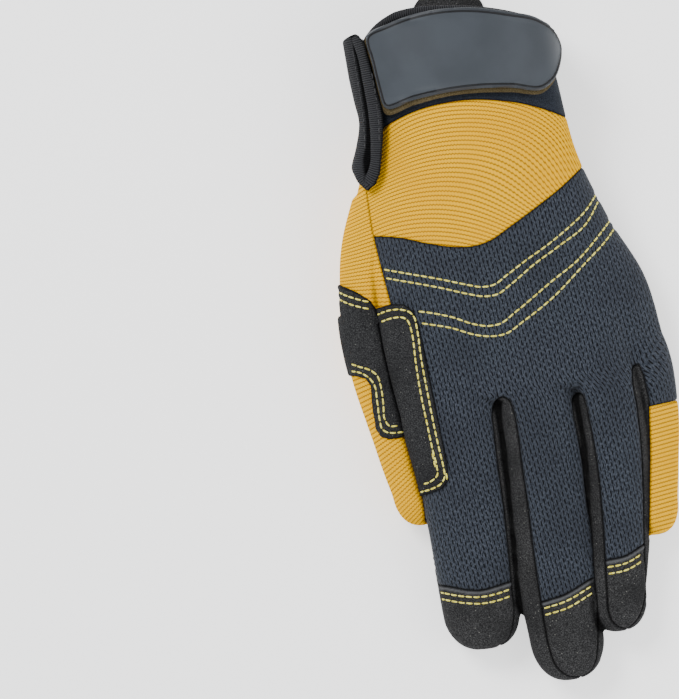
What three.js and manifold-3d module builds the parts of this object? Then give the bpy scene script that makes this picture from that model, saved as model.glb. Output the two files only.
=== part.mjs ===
// A left-hand work and gardening glove, lying palm down with its back up and its fingers towards -Y.
// Millimetres, +Z up. The origin is under the middle of the glove, on the surface that it lies on.
// The glove is hollow: its cloth panels are cut from one shell, made of a lofted hand and cuff,
// four lofted fingers and a lofted thumb, and its patches are thinner skins laid over that shell.
import * as THREE from "three";
import Module from "manifold-3d";
import { mergeVertices } from "three/addons/utils/BufferGeometryUtils.js";

const wasm = await Module();
wasm.setup();

// Cloth and trim sizes
const WALL = 2.0;
const SEAM_GAP = 0.3;
const PATCH_THICK = 1.0;
const BINDING_THICK = 1.5;
const BINDING_RADIUS = 1.7;
const STRAP_LIFT = 1.0;
const STRAP_THICK = 2.0;
const PLATE_THICK = 1.3;
const PLATE_RIM = 0.6;
const PLATE_MARGIN = 1.0;
const RIM_WIDTH = 1.8;
const TAB = { centre: -0.7, width: 27, top: 93, bottom: 139, round: 10.8, thick: 1.6 };

// Fingers that lie against each other, or the thumb against the palm, are dented and keep this gap
const DENT_GAP = 0.5;

// The glove's tables are measured from its own axis. These put the middle of its box at the origin
const CENTRE_X = -0.2;
const CENTRE_Y = 12.8;

// How finely the lofts are divided
const HAND_SIDES = 20;
const FINGER_SIDES = 12;
const THUMB_SIDES = 14;
const TUBE_SIDES = 6;
const TIP_RINGS = 3;

// Section shapes, between an ellipse at 2 and a box
const HAND_POWER = 2.3;
const FINGER_POWER = 2.35;
const DOME_POWER = 0.8;
const LAST_RING_SHARE = 0.35;

// The lowest that the shell comes, which leaves room for the patches under it
const FLOOR = 1.3;

// Where the hand gives way to the fingers, where the thumb leaves the palm, and where its panels
// change from seams that are drawn from above to seams along the thumb
const WEB_Y = -6;
const WEB_END_Y = -11;
const DENT_Y = -8;
const THUMB_CROTCH_Y = 24;
const THUMB_TOP_Y = 29;
const THUMB_ROOT_Y = 60;

// Longer than anything here
const REACH = 400;
const FAR = 40;

// How far the wrist's form goes on past the hem, and how far two cuts overlap so that they join
const HEM_REACH = 12;
const OVERLAP = 0.2;
const HAIR = 0.05;

// How far below the middle of the hand or finger the patches and the slit's tape reach, and how far
// above it the strap ends
const PATCH_REACH = 0.6;
const OVERLAY_START = 1;
const SLIT_REACH = 3;
const STRAP_START = 4;

// The hand and cuff, from the hem to the knuckles. Left and right are the section's ends, top and
// bottom its crown and its lowest line, drops bend the ends down, bulges push the hem out. On the
// back of the hand the hem leans towards the thumb's side, by a share for each millimetre along X.
const HAND_COLUMNS = ["y", "left", "right", "top", "bottom", "dropLeft", "dropRight", "bulgeTop", "bulgeLow"];
const HAND = [
  [112, -34.5, 33.5, 44.5, 2.4, 0, 0, 17.5, 12],
  [104, -34.0, 33.5, 44.0, 2.4, 0, 0, 8, 6],
  [96, -33.5, 34.0, 43.0, 2.4, 0, 0, 0, 0],
  [86, -36.5, 34.8, 41.5, 2.2, 0, 0, 0, 0],
  [75, -42.0, 36.0, 40.0, 1.3, 1, 1, 0, 0],
  [62, -46.5, 39.2, 38.0, 1.3, 2, 2, 0, 0],
  [50, -46.0, 43.0, 36.4, 1.3, 1, 3, 0, 0],
  [26, -43.4, 53.0, 33.4, 5.6, -1, 7, 0, 0],
  [2, -41.8, 56.2, 31.4, 10.6, 0, 10, 0, 0],
  [-8, -41.2, 56.6, 30.6, 11.6, 0, 11, 0, 0],
].map((row) => Object.fromEntries(HAND_COLUMNS.map((column, i) => [column, row[i]])));
const BULGE_POWER = 0.8;
const BULGE_LEAN = 0.0095;
const BULGE_REACH = [-20, 34];
const HAND_END = {
  left: -38, right: 50, top: 27, bottom: 15, dropLeft: 0, dropRight: 9, bulgeTop: 0, bulgeLow: 0,
};

// The fingers and thumb. Each station has its centre, half width and half height, and the roll
// that lowers its right-hand edge. The tip is a dome of the named length beyond the last one.
const FINGERS = {
  index: {
    tip: 13.8,
    stations: [
      { y: 14, x: -24.5, z: 21.0, wide: 15.5, high: 9.8, roll: -3 },
      { y: -12, x: -24.8, z: 20.3, wide: 16.0, high: 9.6, roll: -3 },
      { y: -32, x: -24.1, z: 18.4, wide: 15.1, high: 9.4, roll: -3 },
      { y: -70, x: -23.8, z: 13.0, wide: 14.6, high: 8.9, roll: -3 },
      { y: -84, x: -24.6, z: 10.4, wide: 13.8, high: 8.6, roll: -3 },
    ],
  },
  middle: {
    tip: 15.6,
    stations: [
      { y: 14, x: 7.5, z: 21.5, wide: 14.0, high: 9.8, roll: 6 },
      { y: -12, x: 8.0, z: 21.0, wide: 13.0, high: 9.6, roll: 8 },
      { y: -28, x: 8.7, z: 19.9, wide: 13.1, high: 9.5, roll: 10 },
      { y: -60, x: 6.5, z: 16.2, wide: 14.1, high: 9.2, roll: 10 },
      { y: -80, x: 4.6, z: 13.3, wide: 14.5, high: 9.0, roll: 9 },
      { y: -98, x: 4.0, z: 10.4, wide: 13.4, high: 8.7, roll: 8 },
    ],
  },
  ring: {
    tip: 13.5,
    stations: [
      { y: 14, x: 31.0, z: 20.0, wide: 13.0, high: 9.3, roll: 18 },
      { y: -12, x: 33.1, z: 19.2, wide: 12.4, high: 9.0, roll: 22 },
      { y: -30, x: 33.0, z: 17.8, wide: 12.3, high: 8.8, roll: 24 },
      { y: -68, x: 27.5, z: 13.2, wide: 12.0, high: 8.5, roll: 23 },
      { y: -86, x: 24.0, z: 10.6, wide: 11.2, high: 8.3, roll: 20 },
    ],
  },
  pinky: {
    tip: 11.4,
    stations: [
      { y: 14, x: 46.2, z: 14.6, wide: 10.2, high: 9.0, roll: 36 },
      { y: -5, x: 47.6, z: 12.6, wide: 10.2, high: 8.8, roll: 38 },
      { y: -22, x: 48.2, z: 10.6, wide: 9.4, high: 8.2, roll: 38 },
      { y: -56, x: 42.8, z: 9.0, wide: 8.7, high: 7.7, roll: 32 },
    ],
  },
  thumb: {
    tip: 12.0,
    stations: [
      { y: 70, x: -33.0, z: 18.0, wide: 12.5, high: 13.0, roll: 0 },
      { y: 55, x: -37.6, z: 15.0, wide: 14.4, high: 13.0, roll: 4 },
      { y: 40, x: -40.6, z: 12.6, wide: 14.6, high: 11.4, roll: 12 },
      { y: 25, x: -43.4, z: 11.2, wide: 14.2, high: 10.2, roll: 18 },
      { y: 8, x: -44.0, z: 10.5, wide: 12.8, high: 9.7, roll: 20 },
      { y: -10, x: -42.4, z: 10.2, wide: 12.0, high: 9.5, roll: 20 },
      { y: -38, x: -39.4, z: 9.6, wide: 9.6, high: 8.7, roll: 16 },
    ],
  },
};
const FINGER_NAMES = ["index", "middle", "ring", "pinky"];

// Each side wall covers this share of its finger's half height, above and below the middle, and
// starts this far from the middle of its finger. Its two halves meet at the web. A finger's root
// takes up the places along X in ROOT_ENDS.
const SIDE_SHARE = 0.4;
const SIDE_START = 0.15;
const WEBS = [
  { left: "index", right: "middle" },
  { left: "middle", right: "ring" },
  { left: "ring", right: "pinky" },
];
const ROOT_ENDS = { index: [-60, -7], middle: [-7, 21.6], ring: [21.6, 43.6], pinky: [43.6, 80] };

// The thumb's seam runs this far from the middle of its section, towards the palm
const THUMB_SEAM_ACROSS = 3.5;

// Seam lines and outlines, seen from above, on the glove's own axis
const CUFF_SEAM = [[-60, 83], [-40, 88], [-30, 93], [-18, 96.5], [-5, 97.5], [10, 95.5], [24, 91], [34, 86],
  [60, 70]];
const YOKE_SEAM = [[-60, 57], [-40.3, 54.9], [-31, 52.7], [-21.8, 49.1], [-12.4, 46.3], [-6, 45.5],
  [0.7, 46.6], [7.8, 50], [18.3, 55.3], [29.2, 61.3], [38, 67.3], [60, 82]];
const THUMB_SEAM_BACK = [[-40.2, 120], [-40.4, 72], [-40.6, 54.6], [-39.6, 40], [-38.6, 29], [-38.6, 20]];
const THUMB_SEAM_PALM = [[-15, 100], [-18, 94], [-25.3, 76.5], [-30.6, 60.2], [-35, 44.6], [-39, 30],
  [-40, 20]];
const CAP_LINES = {
  index: [[-60, -71], [-38.5, -72.2], [-24.7, -76.2], [-12.2, -75.1], [20, -72]],
  middle: [[-30, -86], [-3, -84.1], [5.4, -82.9], [16.9, -78.6], [40, -72]],
  ring: [[0, -75], [22.3, -73.2], [29.4, -72.9], [36.8, -70.1], [60, -66]],
  pinky: [[20, -23.2], [46.6, -21.6], [57.1, -21.1], [80, -20.5]],
};
const INDEX_PATCH = [[-60, 29.4], [-44, 29.4], [-38.4, 30.1], [-33.9, 29.4], [-30.8, 26.6], [-29.6, 21],
  [-29.2, 8], [-28.6, -10], [-28, -30], [-28.6, -35.4], [-31.2, -38], [-38.6, -38.8], [-60, -38.8]];
const THUMB_PATCH = [[-70, 44], [-57, 41.5], [-49.5, 36.4], [-45.4, 32.6], [-43.8, 29.4], [-42, 24],
  [-30, 22], [-30, -17.4], [-41.5, -17.4], [-46, -17], [-49.4, -13.5], [-50.6, -7], [-50, 0], [-51.6, 5],
  [-55, 6.8], [-70, 9]];
const STRAP = [[-31.8, 127], [-16, 130.4], [0, 130.3], [12, 127.9], [31, 121.4], [35.6, 116.6], [36.8, 110.2],
  [35.4, 103], [32, 98.6], [27, 97], [14, 100], [-6, 102.5], [-29.5, 99.4]];
const SLIT_BINDING = [[-60, 127.4], [-32.4, 127.4], [-31.5, 114], [-30.1, 99], [-30, 94], [-31.8, 85],
  [-34.9, 75], [-38, 71.6], [-41.2, 71.8], [-43.2, 76], [-43.6, 81], [-60, 84]];
const INDEX_TIP_LINE = [[-60, -61.8], [-41, -61.8], [-16.5, -60.6], [0, -60.4]];
const THUMB_TIP_LINE = [[-60, -4], [-40, -6.6], [-34, -8.2], [-29, -12], [-10, -14]];
const PALM_OVERLAY = [[-31, -12.5], [-27, -11], [-21, -4], [-16.5, -3.4], [-8, -13.6], [-3, -16.2],
  [1.5, -15.6], [8, -6.2], [11.4, -5], [15, -7.4], [20, -13.4], [24, -14.4], [28, -12], [33, 1], [37, 4.6],
  [40.6, 2.6], [44.6, -4.6], [49, -7], [52.8, -5.6], [55, 4], [54.4, 14], [51.8, 24], [48.6, 30.6],
  [44.6, 35.4], [40.2, 39.6], [43.8, 43.8], [46, 48], [47, 54], [42, 75], [34, 81], [24, 84], [14, 81.5],
  [6, 76], [5.4, 58], [1.6, 54.4], [-7, 50.6], [-19.6, 38.4], [-26.4, 27], [-29.4, 12], [-31, -2]];

const rounded = (value, power) => Math.sign(value) * Math.abs(value) ** (2 / power);
const join = (...solids) => solids.reduce((sum, solid) => sum.add(solid));

// Turns a three.js geometry into a solid that manifold-3d can join and cut.
function solidOf(geometry) {
  geometry.deleteAttribute("normal");
  geometry.deleteAttribute("uv");
  const merged = mergeVertices(geometry, 1e-4);
  return new wasm.Manifold(new wasm.Mesh({
    numProp: 3,
    vertProperties: new Float32Array(merged.attributes.position.array),
    triVerts: new Uint32Array(merged.index.array),
  }));
}

// Joins rings of equal length with faces. Each ring turns from +X through +Z, and the next one
// lies towards -Y. A loop of rings closes on itself, and other lofts are closed by two end faces.
function loft(rings, loop = false) {
  const sides = rings[0].length;
  const positions = rings.flat().flatMap((p) => p.toArray());
  const index = [];
  for (let r = 0; r < rings.length - (loop ? 0 : 1); r += 1) {
    const next = (r + 1) % rings.length;
    for (let s = 0; s < sides; s += 1) {
      const [a, b] = [r * sides + s, r * sides + (s + 1) % sides];
      const [c, d] = [next * sides + s, next * sides + (s + 1) % sides];
      index.push(a, b, c, b, d, c);
    }
  }
  const ends = loop ? [] : [[0, true], [rings.length - 1, false]];
  for (const [ring, turned] of ends) {
    const centre = rings[ring].reduce((sum, p) => sum.add(p), new THREE.Vector3()).divideScalar(sides);
    const middle = positions.length / 3;
    positions.push(...centre.toArray());
    for (let s = 0; s < sides; s += 1) {
      const [a, b] = [ring * sides + s, ring * sides + (s + 1) % sides];
      index.push(...(turned ? [b, a, middle] : [a, b, middle]));
    }
  }
  const geometry = new THREE.BufferGeometry();
  geometry.setAttribute("position", new THREE.Float32BufferAttribute(positions, 3));
  geometry.setIndex(index);
  return solidOf(geometry);
}

// A prism over an outline seen from above, between two heights.
function prism(outline, low = -REACH, high = REACH) {
  const shape = new THREE.Shape(outline.map(([x, y]) => new THREE.Vector2(x, y)));
  const geometry = new THREE.ExtrudeGeometry(shape, { depth: high - low, bevelEnabled: false });
  return solidOf(geometry.translate(0, 0, low));
}

// Everything on one side of a line of points that runs along +X, moved along Y by shift.
const below = (line, shift = 0) => prism([
  [-REACH, -REACH], [REACH, -REACH], [REACH, line.at(-1)[1] + shift],
  ...line.toReversed().map(([x, y]) => [x, y + shift]), [-REACH, line[0][1] + shift],
]);
const above = (line, shift = 0) => prism([
  [-REACH, line[0][1] + shift], ...line.map(([x, y]) => [x, y + shift]),
  [REACH, line.at(-1)[1] + shift], [REACH, REACH], [-REACH, REACH],
]);

// Everything to one side of a line of points that runs towards -Y, moved along X by shift.
const leftOf = (line, shift = 0) => prism([
  [-REACH, REACH], [-REACH, -REACH], [line.at(-1)[0] + shift, -REACH],
  ...line.toReversed().map(([x, y]) => [x + shift, y]), [line[0][0] + shift, REACH],
]);
const rightOf = (line, shift = 0) => prism([
  [line[0][0] + shift, REACH], ...line.map(([x, y]) => [x + shift, y]),
  [line.at(-1)[0] + shift, -REACH], [REACH, -REACH], [REACH, REACH],
]);

// Everything in a rectangle, or between two places along Y
const rectangle = (x0, x1, y0, y1) => prism([[x0, y0], [x1, y0], [x1, y1], [x0, y1]]);
const band = (low, high) => rectangle(-REACH, REACH, low, high);

// How far the hand's section is bent down at a share of its half width
const dropAt = (row, share) => (share > 0 ? row.dropRight : row.dropLeft) * share * share;

// One ring of the hand and cuff, grown outwards by grow and never lower than its floor.
function handRing(row, grow) {
  const wide = (row.right - row.left) / 2 + grow;
  const high = (row.top - row.bottom) / 2 + grow;
  const middleX = (row.right + row.left) / 2;
  const middleZ = (row.top + row.bottom) / 2;
  return Array.from({ length: HAND_SIDES }, (_, s) => {
    const angle = (s / HAND_SIDES) * 2 * Math.PI;
    const across = rounded(Math.cos(angle), HAND_POWER);
    const up = rounded(Math.sin(angle), HAND_POWER);
    const x = middleX + wide * across;
    const z = middleZ + high * up - dropAt(row, across);
    const lean = 1 - BULGE_LEAN * THREE.MathUtils.clamp(x, ...BULGE_REACH);
    const bulge = (up > 0 ? row.bulgeTop * lean : row.bulgeLow) * Math.abs(up) ** BULGE_POWER;
    return new THREE.Vector3(x, row.y + bulge, Math.max(z, FLOOR - grow));
  });
}

// The hand and cuff as one form, grown outwards, and past the hem where its tube is cut open.
function handLoft(grow, hemReach = 0) {
  const rings = HAND.map((row) => handRing(row, grow));
  if (hemReach) rings.unshift(rings[0].map((p) => p.clone().setY(p.y + hemReach)));
  rings.push(handRing({ ...HAND_END, y: WEB_END_Y - grow }, 0));
  return loft(rings);
}

// A point of a finger's section, from its place across and up
function inSection(station, across, up) {
  const roll = THREE.MathUtils.degToRad(station.roll);
  const x = station.x + across * Math.cos(roll) + up * Math.sin(roll);
  const z = station.z - across * Math.sin(roll) + up * Math.cos(roll);
  return new THREE.Vector3(x, station.y, z);
}

// One ring of a finger, grown outwards by grow and never lower than its floor.
function fingerRing(station, grow, sides) {
  return Array.from({ length: sides }, (_, s) => {
    const angle = (s / sides) * 2 * Math.PI;
    const across = (station.wide + grow) * rounded(Math.cos(angle), FINGER_POWER);
    const up = (station.high + grow) * rounded(Math.sin(angle), FINGER_POWER);
    const point = inSection(station, across, up);
    return point.setZ(Math.max(point.z, FLOOR - grow));
  });
}

// A finger's stations with those of its domed tip, which shrink as a quarter circle does.
function allStations(name) {
  const { tip, stations } = FINGERS[name];
  const last = stations.at(-1);
  const dome = Array.from({ length: TIP_RINGS }, (_, i) => {
    const angle = ((i + 1) / (TIP_RINGS + LAST_RING_SHARE)) * (Math.PI / 2);
    const share = Math.cos(angle) ** DOME_POWER;
    return { ...last, y: last.y - tip * Math.sin(angle), wide: last.wide * share, high: last.high * share };
  });
  return [...stations, ...dome];
}

// A whole finger or thumb, grown outwards by grow.
function fingerLoft(name, grow) {
  const sides = name === "thumb" ? THUMB_SIDES : FINGER_SIDES;
  const { tip, stations } = FINGERS[name];
  return loft(allStations(name).map((station) => {
    const beyond = Math.max(0, stations.at(-1).y - station.y);
    return fingerRing({ ...station, y: station.y - (grow * beyond) / tip }, grow, sides);
  }));
}

// A block round a finger whose section is given, at each station, by its ends across and up.
function fingerBlock(name, ends) {
  const rows = allStations(name);
  rows.push({ ...rows.at(-1), y: rows.at(-1).y - FAR });
  return loft(rows.map((station) => {
    const { left, right, low, high } = ends(station);
    return [
      inSection(station, right, low), inSection(station, right, high),
      inSection(station, left, high), inSection(station, left, low),
    ];
  }));
}

// A finger's upper half, and the band of its side wall on one side, both grown by grow.
const upperHalf = (name, grow) => fingerBlock(name, () => ({
  left: -FAR, right: FAR, low: -grow, high: FAR,
}));
function wallBand(name, side, grow) {
  return fingerBlock(name, (station) => {
    const reach = SIDE_SHARE * station.high + grow;
    const inner = SIDE_START - grow;
    return side > 0
      ? { left: inner, right: FAR, low: -reach, high: reach }
      : { left: -FAR, right: -inner, low: -reach, high: reach };
  });
}

// Everything above the hand's middle surface, which follows the drops of its sections.
const SLAB_SHARES = [1.15, 0.8, 0.4, 0, -0.4, -0.8, -1.15];
function handUpper(grow, nearY = WEB_Y) {
  const rows = [{ ...HAND[0], y: 160 }, ...HAND.slice(0, -1), { ...HAND.at(-1), y: nearY }];
  return loft(rows.filter((row) => row.y >= nearY).map((row) => {
    const place = (share, z) => new THREE.Vector3(
      (row.right + row.left) / 2 + ((row.right - row.left) / 2) * share, row.y, z);
    const surface = SLAB_SHARES.toReversed().map((share) =>
      place(share, (row.top + row.bottom) / 2 - dropAt(row, share) - grow));
    return [...surface, ...SLAB_SHARES.map((share) => place(share, REACH))];
  }));
}

// The largest body of a cut, without the crumbs that a cut can leave
const mainBody = (solid) => solid.decompose().sort((a, b) => b.volume() - a.volume())[0];

// A finger or the thumb, dented where it lies against its neighbour, past the given place.
const deepen = (grow) => DENT_GAP + Math.max(0, -grow);
const webOf = (y, grow) => band(-REACH, y + Math.max(0, -grow));
const dented = (name, neighbour, y, grow) => fingerLoft(name, grow)
  .subtract(neighbour.intersect(webOf(y, grow)));

// The hand, the fingers and the thumb as one form.
function gloveForm(grow, hemReach = 0) {
  const near = deepen(grow);
  return join(
    handLoft(grow, hemReach), fingerLoft("index", grow), fingerLoft("middle", grow),
    dented("ring", fingerLoft("middle", near), DENT_Y, grow),
    dented("pinky", fingerLoft("ring", near), DENT_Y, grow),
    dented("thumb", join(handLoft(near), fingerLoft("index", near)), THUMB_CROTCH_Y, grow),
  );
}

const shell = gloveForm(0).subtract(gloveForm(-WALL, HEM_REACH));

// The space round each finger that its own panels are cut from, past the web
const half = SEAM_GAP / 2;
const MARGIN = 0.1;
function spaceOf(name, grow = 0) {
  const previous = { middle: "index", ring: "middle", pinky: "ring" }[name];
  const [x0, x1] = ROOT_ENDS[name];
  const tube = fingerLoft(name, MARGIN + grow).intersect(band(-REACH, WEB_END_Y + OVERLAP));
  const root = rectangle(x0, x1, WEB_END_Y, WEB_Y + grow);
  return previous ? join(tube.subtract(fingerLoft(previous, MARGIN)), root) : join(tube, root);
}
const sideRegion = ({ left, right }, grow) => join(
  wallBand(left, 1, grow).intersect(spaceOf(left, grow + half)),
  wallBand(right, -1, grow).intersect(spaceOf(right, grow + half)),
);

const pastWeb = band(-REACH, WEB_Y + HAIR);
const upperRegion = (grow) => join(
  handUpper(grow),
  ...FINGER_NAMES.map((name) => upperHalf(name, grow).intersect(spaceOf(name, OVERLAP)).intersect(pastWeb)),
);

// The thumb's own tube past the crotch, and the part of it on the back's side of its seam
const thumbSpace = (grow) => fingerLoft("thumb", MARGIN + Math.max(0, grow))
  .intersect(band(-REACH, THUMB_TOP_Y + grow));
const thumbOuter = (grow) => fingerBlock("thumb", () => ({
  left: -FAR, right: THUMB_SEAM_ACROSS + grow, low: -FAR, high: FAR }));
const aboveThumb = band(THUMB_TOP_Y, REACH);
const belowCuff = below(CUFF_SEAM, -half);
const handLeft = join(
  handUpper(0).intersect(leftOf(THUMB_SEAM_BACK, -half)),
  leftOf(THUMB_SEAM_PALM, -half).subtract(handUpper(0)),
).intersect(aboveThumb);

const thumbOutside = join(thumbSpace(MARGIN).intersect(thumbOuter(-half)), handLeft);
const thumbBack = mainBody(shell.intersect(thumbOutside).intersect(belowCuff));
const thumbFront = mainBody(shell.intersect(thumbSpace(-SEAM_GAP)).subtract(thumbOuter(half)).subtract(
  handUpper(half).intersect(band(THUMB_CROTCH_Y, REACH))));

// The hand's own shell, without the thumb and without the side walls between the fingers
const handShell = shell.subtract(thumbSpace(half));
const walled = handShell.subtract(join(...WEBS.map((web) => sideRegion(web, half))));
const sideWalls = WEBS.map((web) => mainBody(handShell.intersect(sideRegion(web, -half))));

const capSpace = (name, shift) => spaceOf(name, OVERLAP).intersect(below(CAP_LINES[name], shift));
const upperShell = walled.intersect(upperRegion(-half));
const back = upperShell.intersect(rightOf(THUMB_SEAM_BACK, half));
const backPanel = mainBody(back.intersect(below(YOKE_SEAM, -half)).subtract(
  join(...FINGER_NAMES.map((name) => capSpace(name, half)))));
const yoke = mainBody(back.intersect(above(YOKE_SEAM, half)).intersect(belowCuff));
const caps = FINGER_NAMES.map((name) => mainBody(upperShell.intersect(capSpace(name, -half))));
const palm = walled.subtract(upperRegion(half)).intersect(belowCuff);
const palmPanel = mainBody(palm.intersect(rightOf(THUMB_SEAM_PALM, half)));
const cuff = mainBody(shell.intersect(above(CUFF_SEAM, half)));

// A skin over one of the glove's forms, from one height above it to another
const skin = (form, from, thick) => form(from + thick).subtract(form(from));
const indexForm = (grow) => join(handLoft(grow), fingerLoft("index", grow));
const thumbForm = (grow) => fingerLoft("thumb", grow);
const thumbKeepOut = thumbForm(PATCH_THICK + 2 * SEAM_GAP).intersect(band(-REACH, THUMB_ROOT_Y));
const indexPatch = mainBody(skin(indexForm, SEAM_GAP, PATCH_THICK).intersect(prism(INDEX_PATCH))
  .intersect(join(handUpper(-PATCH_REACH), upperHalf("index", -PATCH_REACH).intersect(pastWeb)))
  .subtract(thumbForm(SEAM_GAP).intersect(band(-REACH, THUMB_ROOT_Y))));

// The thumb's patches stay off the hand and the index finger
const handKeepOut = indexForm(PATCH_THICK + 2 * SEAM_GAP);
const thumbSkin = skin(thumbForm, SEAM_GAP, PATCH_THICK);
const thumbPatch = mainBody(thumbSkin.intersect(prism(THUMB_PATCH)).intersect(upperHalf("thumb", 0))
  .subtract(handKeepOut));
const thumbTipPatch = mainBody(thumbSkin.intersect(below(THUMB_TIP_LINE))
  .subtract(upperHalf("thumb", SEAM_GAP)).subtract(handKeepOut));
const indexTipPatch = mainBody(skin((grow) => fingerLoft("index", grow), SEAM_GAP, PATCH_THICK)
  .intersect(below(INDEX_TIP_LINE)).subtract(wallBand("index", 1, SEAM_GAP))
  .subtract(upperHalf("index", SEAM_GAP)).subtract(thumbKeepOut));
const aboveOverlay = join(handUpper(OVERLAY_START), ...FINGER_NAMES.map((name) => {
  const [x0, x1] = ROOT_ENDS[name];
  return upperHalf(name, OVERLAY_START).intersect(rectangle(x0, x1, -REACH, WEB_Y + HAIR));
}));
const palmOverlay = mainBody(skin(gloveForm, SEAM_GAP, PATCH_THICK).intersect(prism(PALM_OVERLAY))
  .subtract(aboveOverlay).subtract(thumbKeepOut));

// The binding is a tube round the hem, which the tape of the slit and the strap keep clear of
function hemTube(radius) {
  const edge = handRing(HAND[0], 0);
  return loft(handRing(HAND[0], -WALL / 2).map((p, s) => {
    const outward = edge[s].clone().sub(p).setY(0).normalize();
    return Array.from({ length: TUBE_SIDES }, (_, k) => {
      const angle = (-k / TUBE_SIDES) * 2 * Math.PI;
      const along = new THREE.Vector3(0, radius * Math.cos(angle) + BINDING_RADIUS + SEAM_GAP, 0);
      return p.clone().addScaledVector(outward, radius * Math.sin(angle)).add(along);
    });
  }), true);
}
const cuffBinding = hemTube(BINDING_RADIUS);
const wristForm = (grow) => handLoft(grow, HEM_REACH);
const slitBinding = mainBody(skin(wristForm, SEAM_GAP, BINDING_THICK).intersect(prism(SLIT_BINDING))
  .intersect(handUpper(SLIT_REACH)).subtract(hemTube(BINDING_RADIUS + SEAM_GAP)));

// An outline with each of its sides moved inwards
function inset(outline, distance) {
  const count = outline.length;
  const points = outline.map(([x, y]) => new THREE.Vector2(x, y));
  const turn = THREE.ShapeUtils.isClockWise(points) ? 1 : -1;
  return points.map((p, i) => {
    const along = points[(i + 1) % count].clone().sub(points[(i + count - 1) % count]).normalize();
    return [p.x + along.y * distance * turn, p.y - along.x * distance * turn];
  });
}
const overWrist = handUpper(-STRAP_START);
const strap = mainBody(skin(wristForm, STRAP_LIFT, STRAP_THICK).intersect(prism(STRAP)).intersect(overWrist));
const plateLift = STRAP_LIFT + STRAP_THICK + SEAM_GAP;
const plateOutline = prism(inset(STRAP, PLATE_MARGIN));
const plateField = prism(inset(STRAP, PLATE_MARGIN + RIM_WIDTH));
const strapPlate = mainBody(join(
  skin(wristForm, plateLift, PLATE_THICK).intersect(plateOutline),
  skin(wristForm, plateLift, PLATE_THICK + PLATE_RIM).intersect(plateOutline).subtract(plateField),
).intersect(overWrist));

// The pull tab is a flat strip with a round end, lying under the cuff
function pullTab() {
  const [left, right] = [TAB.centre - TAB.width / 2, TAB.centre + TAB.width / 2];
  const shoulder = TAB.bottom - TAB.round;
  const shape = new THREE.Shape();
  shape.moveTo(left, TAB.top);
  shape.lineTo(right, TAB.top);
  shape.lineTo(right, shoulder);
  shape.absellipse(TAB.centre, shoulder, TAB.width / 2, TAB.bottom - shoulder, 0, Math.PI, false);
  const settings = { depth: TAB.thick, bevelEnabled: false, curveSegments: 10 };
  return solidOf(new THREE.ExtrudeGeometry(shape, settings));
}

const suede = new THREE.MeshStandardMaterial({ color: 0x1c1c1e, roughness: 0.95, metalness: 0 });
const airMesh = new THREE.MeshStandardMaterial({ color: 0x3a404d, roughness: 0.85, metalness: 0 });
const yellowKnit = new THREE.MeshStandardMaterial({ color: 0xf7b50c, roughness: 0.8, metalness: 0 });
const neoprene = new THREE.MeshStandardMaterial({ color: 0x2c323b, roughness: 0.9, metalness: 0 });
const grainedLeather = new THREE.MeshStandardMaterial({ color: 0x3d4146, roughness: 0.6, metalness: 0 });
const ribbedTape = new THREE.MeshStandardMaterial({ color: 0x15161a, roughness: 0.8, metalness: 0 });
const mouldedRubber = new THREE.MeshStandardMaterial({ color: 0x3f464f, roughness: 0.55, metalness: 0 });

const group = new THREE.Group();
group.position.set(-CENTRE_X, -CENTRE_Y, 0);
function addNode(name, solid, material) {
  const { numProp, vertProperties, triVerts } = solid.getMesh();
  const positions = new Float32Array((vertProperties.length / numProp) * 3);
  for (let i = 0; i < positions.length / 3; i += 1) {
    positions.set(vertProperties.subarray(i * numProp, i * numProp + 3), i * 3);
  }
  const geometry = new THREE.BufferGeometry();
  geometry.setAttribute("position", new THREE.BufferAttribute(positions, 3));
  geometry.setIndex(new THREE.BufferAttribute(new Uint32Array(triVerts), 1));
  const node = new THREE.Mesh(geometry, material);
  node.name = name;
  group.add(node);
}

addNode("back_panel", backPanel, airMesh);
addNode("wrist_yoke", yoke, yellowKnit);
addNode("palm_panel", palmPanel, suede);
addNode("thumb_back", thumbBack, yellowKnit);
addNode("thumb_front", thumbFront, suede);
addNode("index_cap", caps[0], suede);
addNode("middle_cap", caps[1], suede);
addNode("ring_cap", caps[2], suede);
addNode("pinky_back", caps[3], yellowKnit);
WEBS.forEach(({ left, right }, i) => addNode(`side_wall_${left}_${right}`, sideWalls[i], suede));
addNode("index_patch", indexPatch, suede);
addNode("thumb_patch", thumbPatch, suede);
addNode("palm_overlay", palmOverlay, suede);
addNode("index_tip_patch", indexTipPatch, grainedLeather);
addNode("thumb_tip_patch", thumbTipPatch, grainedLeather);
addNode("cuff", cuff, neoprene);
addNode("cuff_binding", cuffBinding, ribbedTape);
addNode("slit_binding", slitBinding, ribbedTape);
addNode("strap", strap, neoprene);
addNode("strap_plate", strapPlate, mouldedRubber);
addNode("pull_tab", pullTab(), suede);

export default group;
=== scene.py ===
import math

import bpy
import numpy as np
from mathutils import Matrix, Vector, noise
from mathutils.bvhtree import BVHTree
from mathutils.kdtree import KDTree


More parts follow.
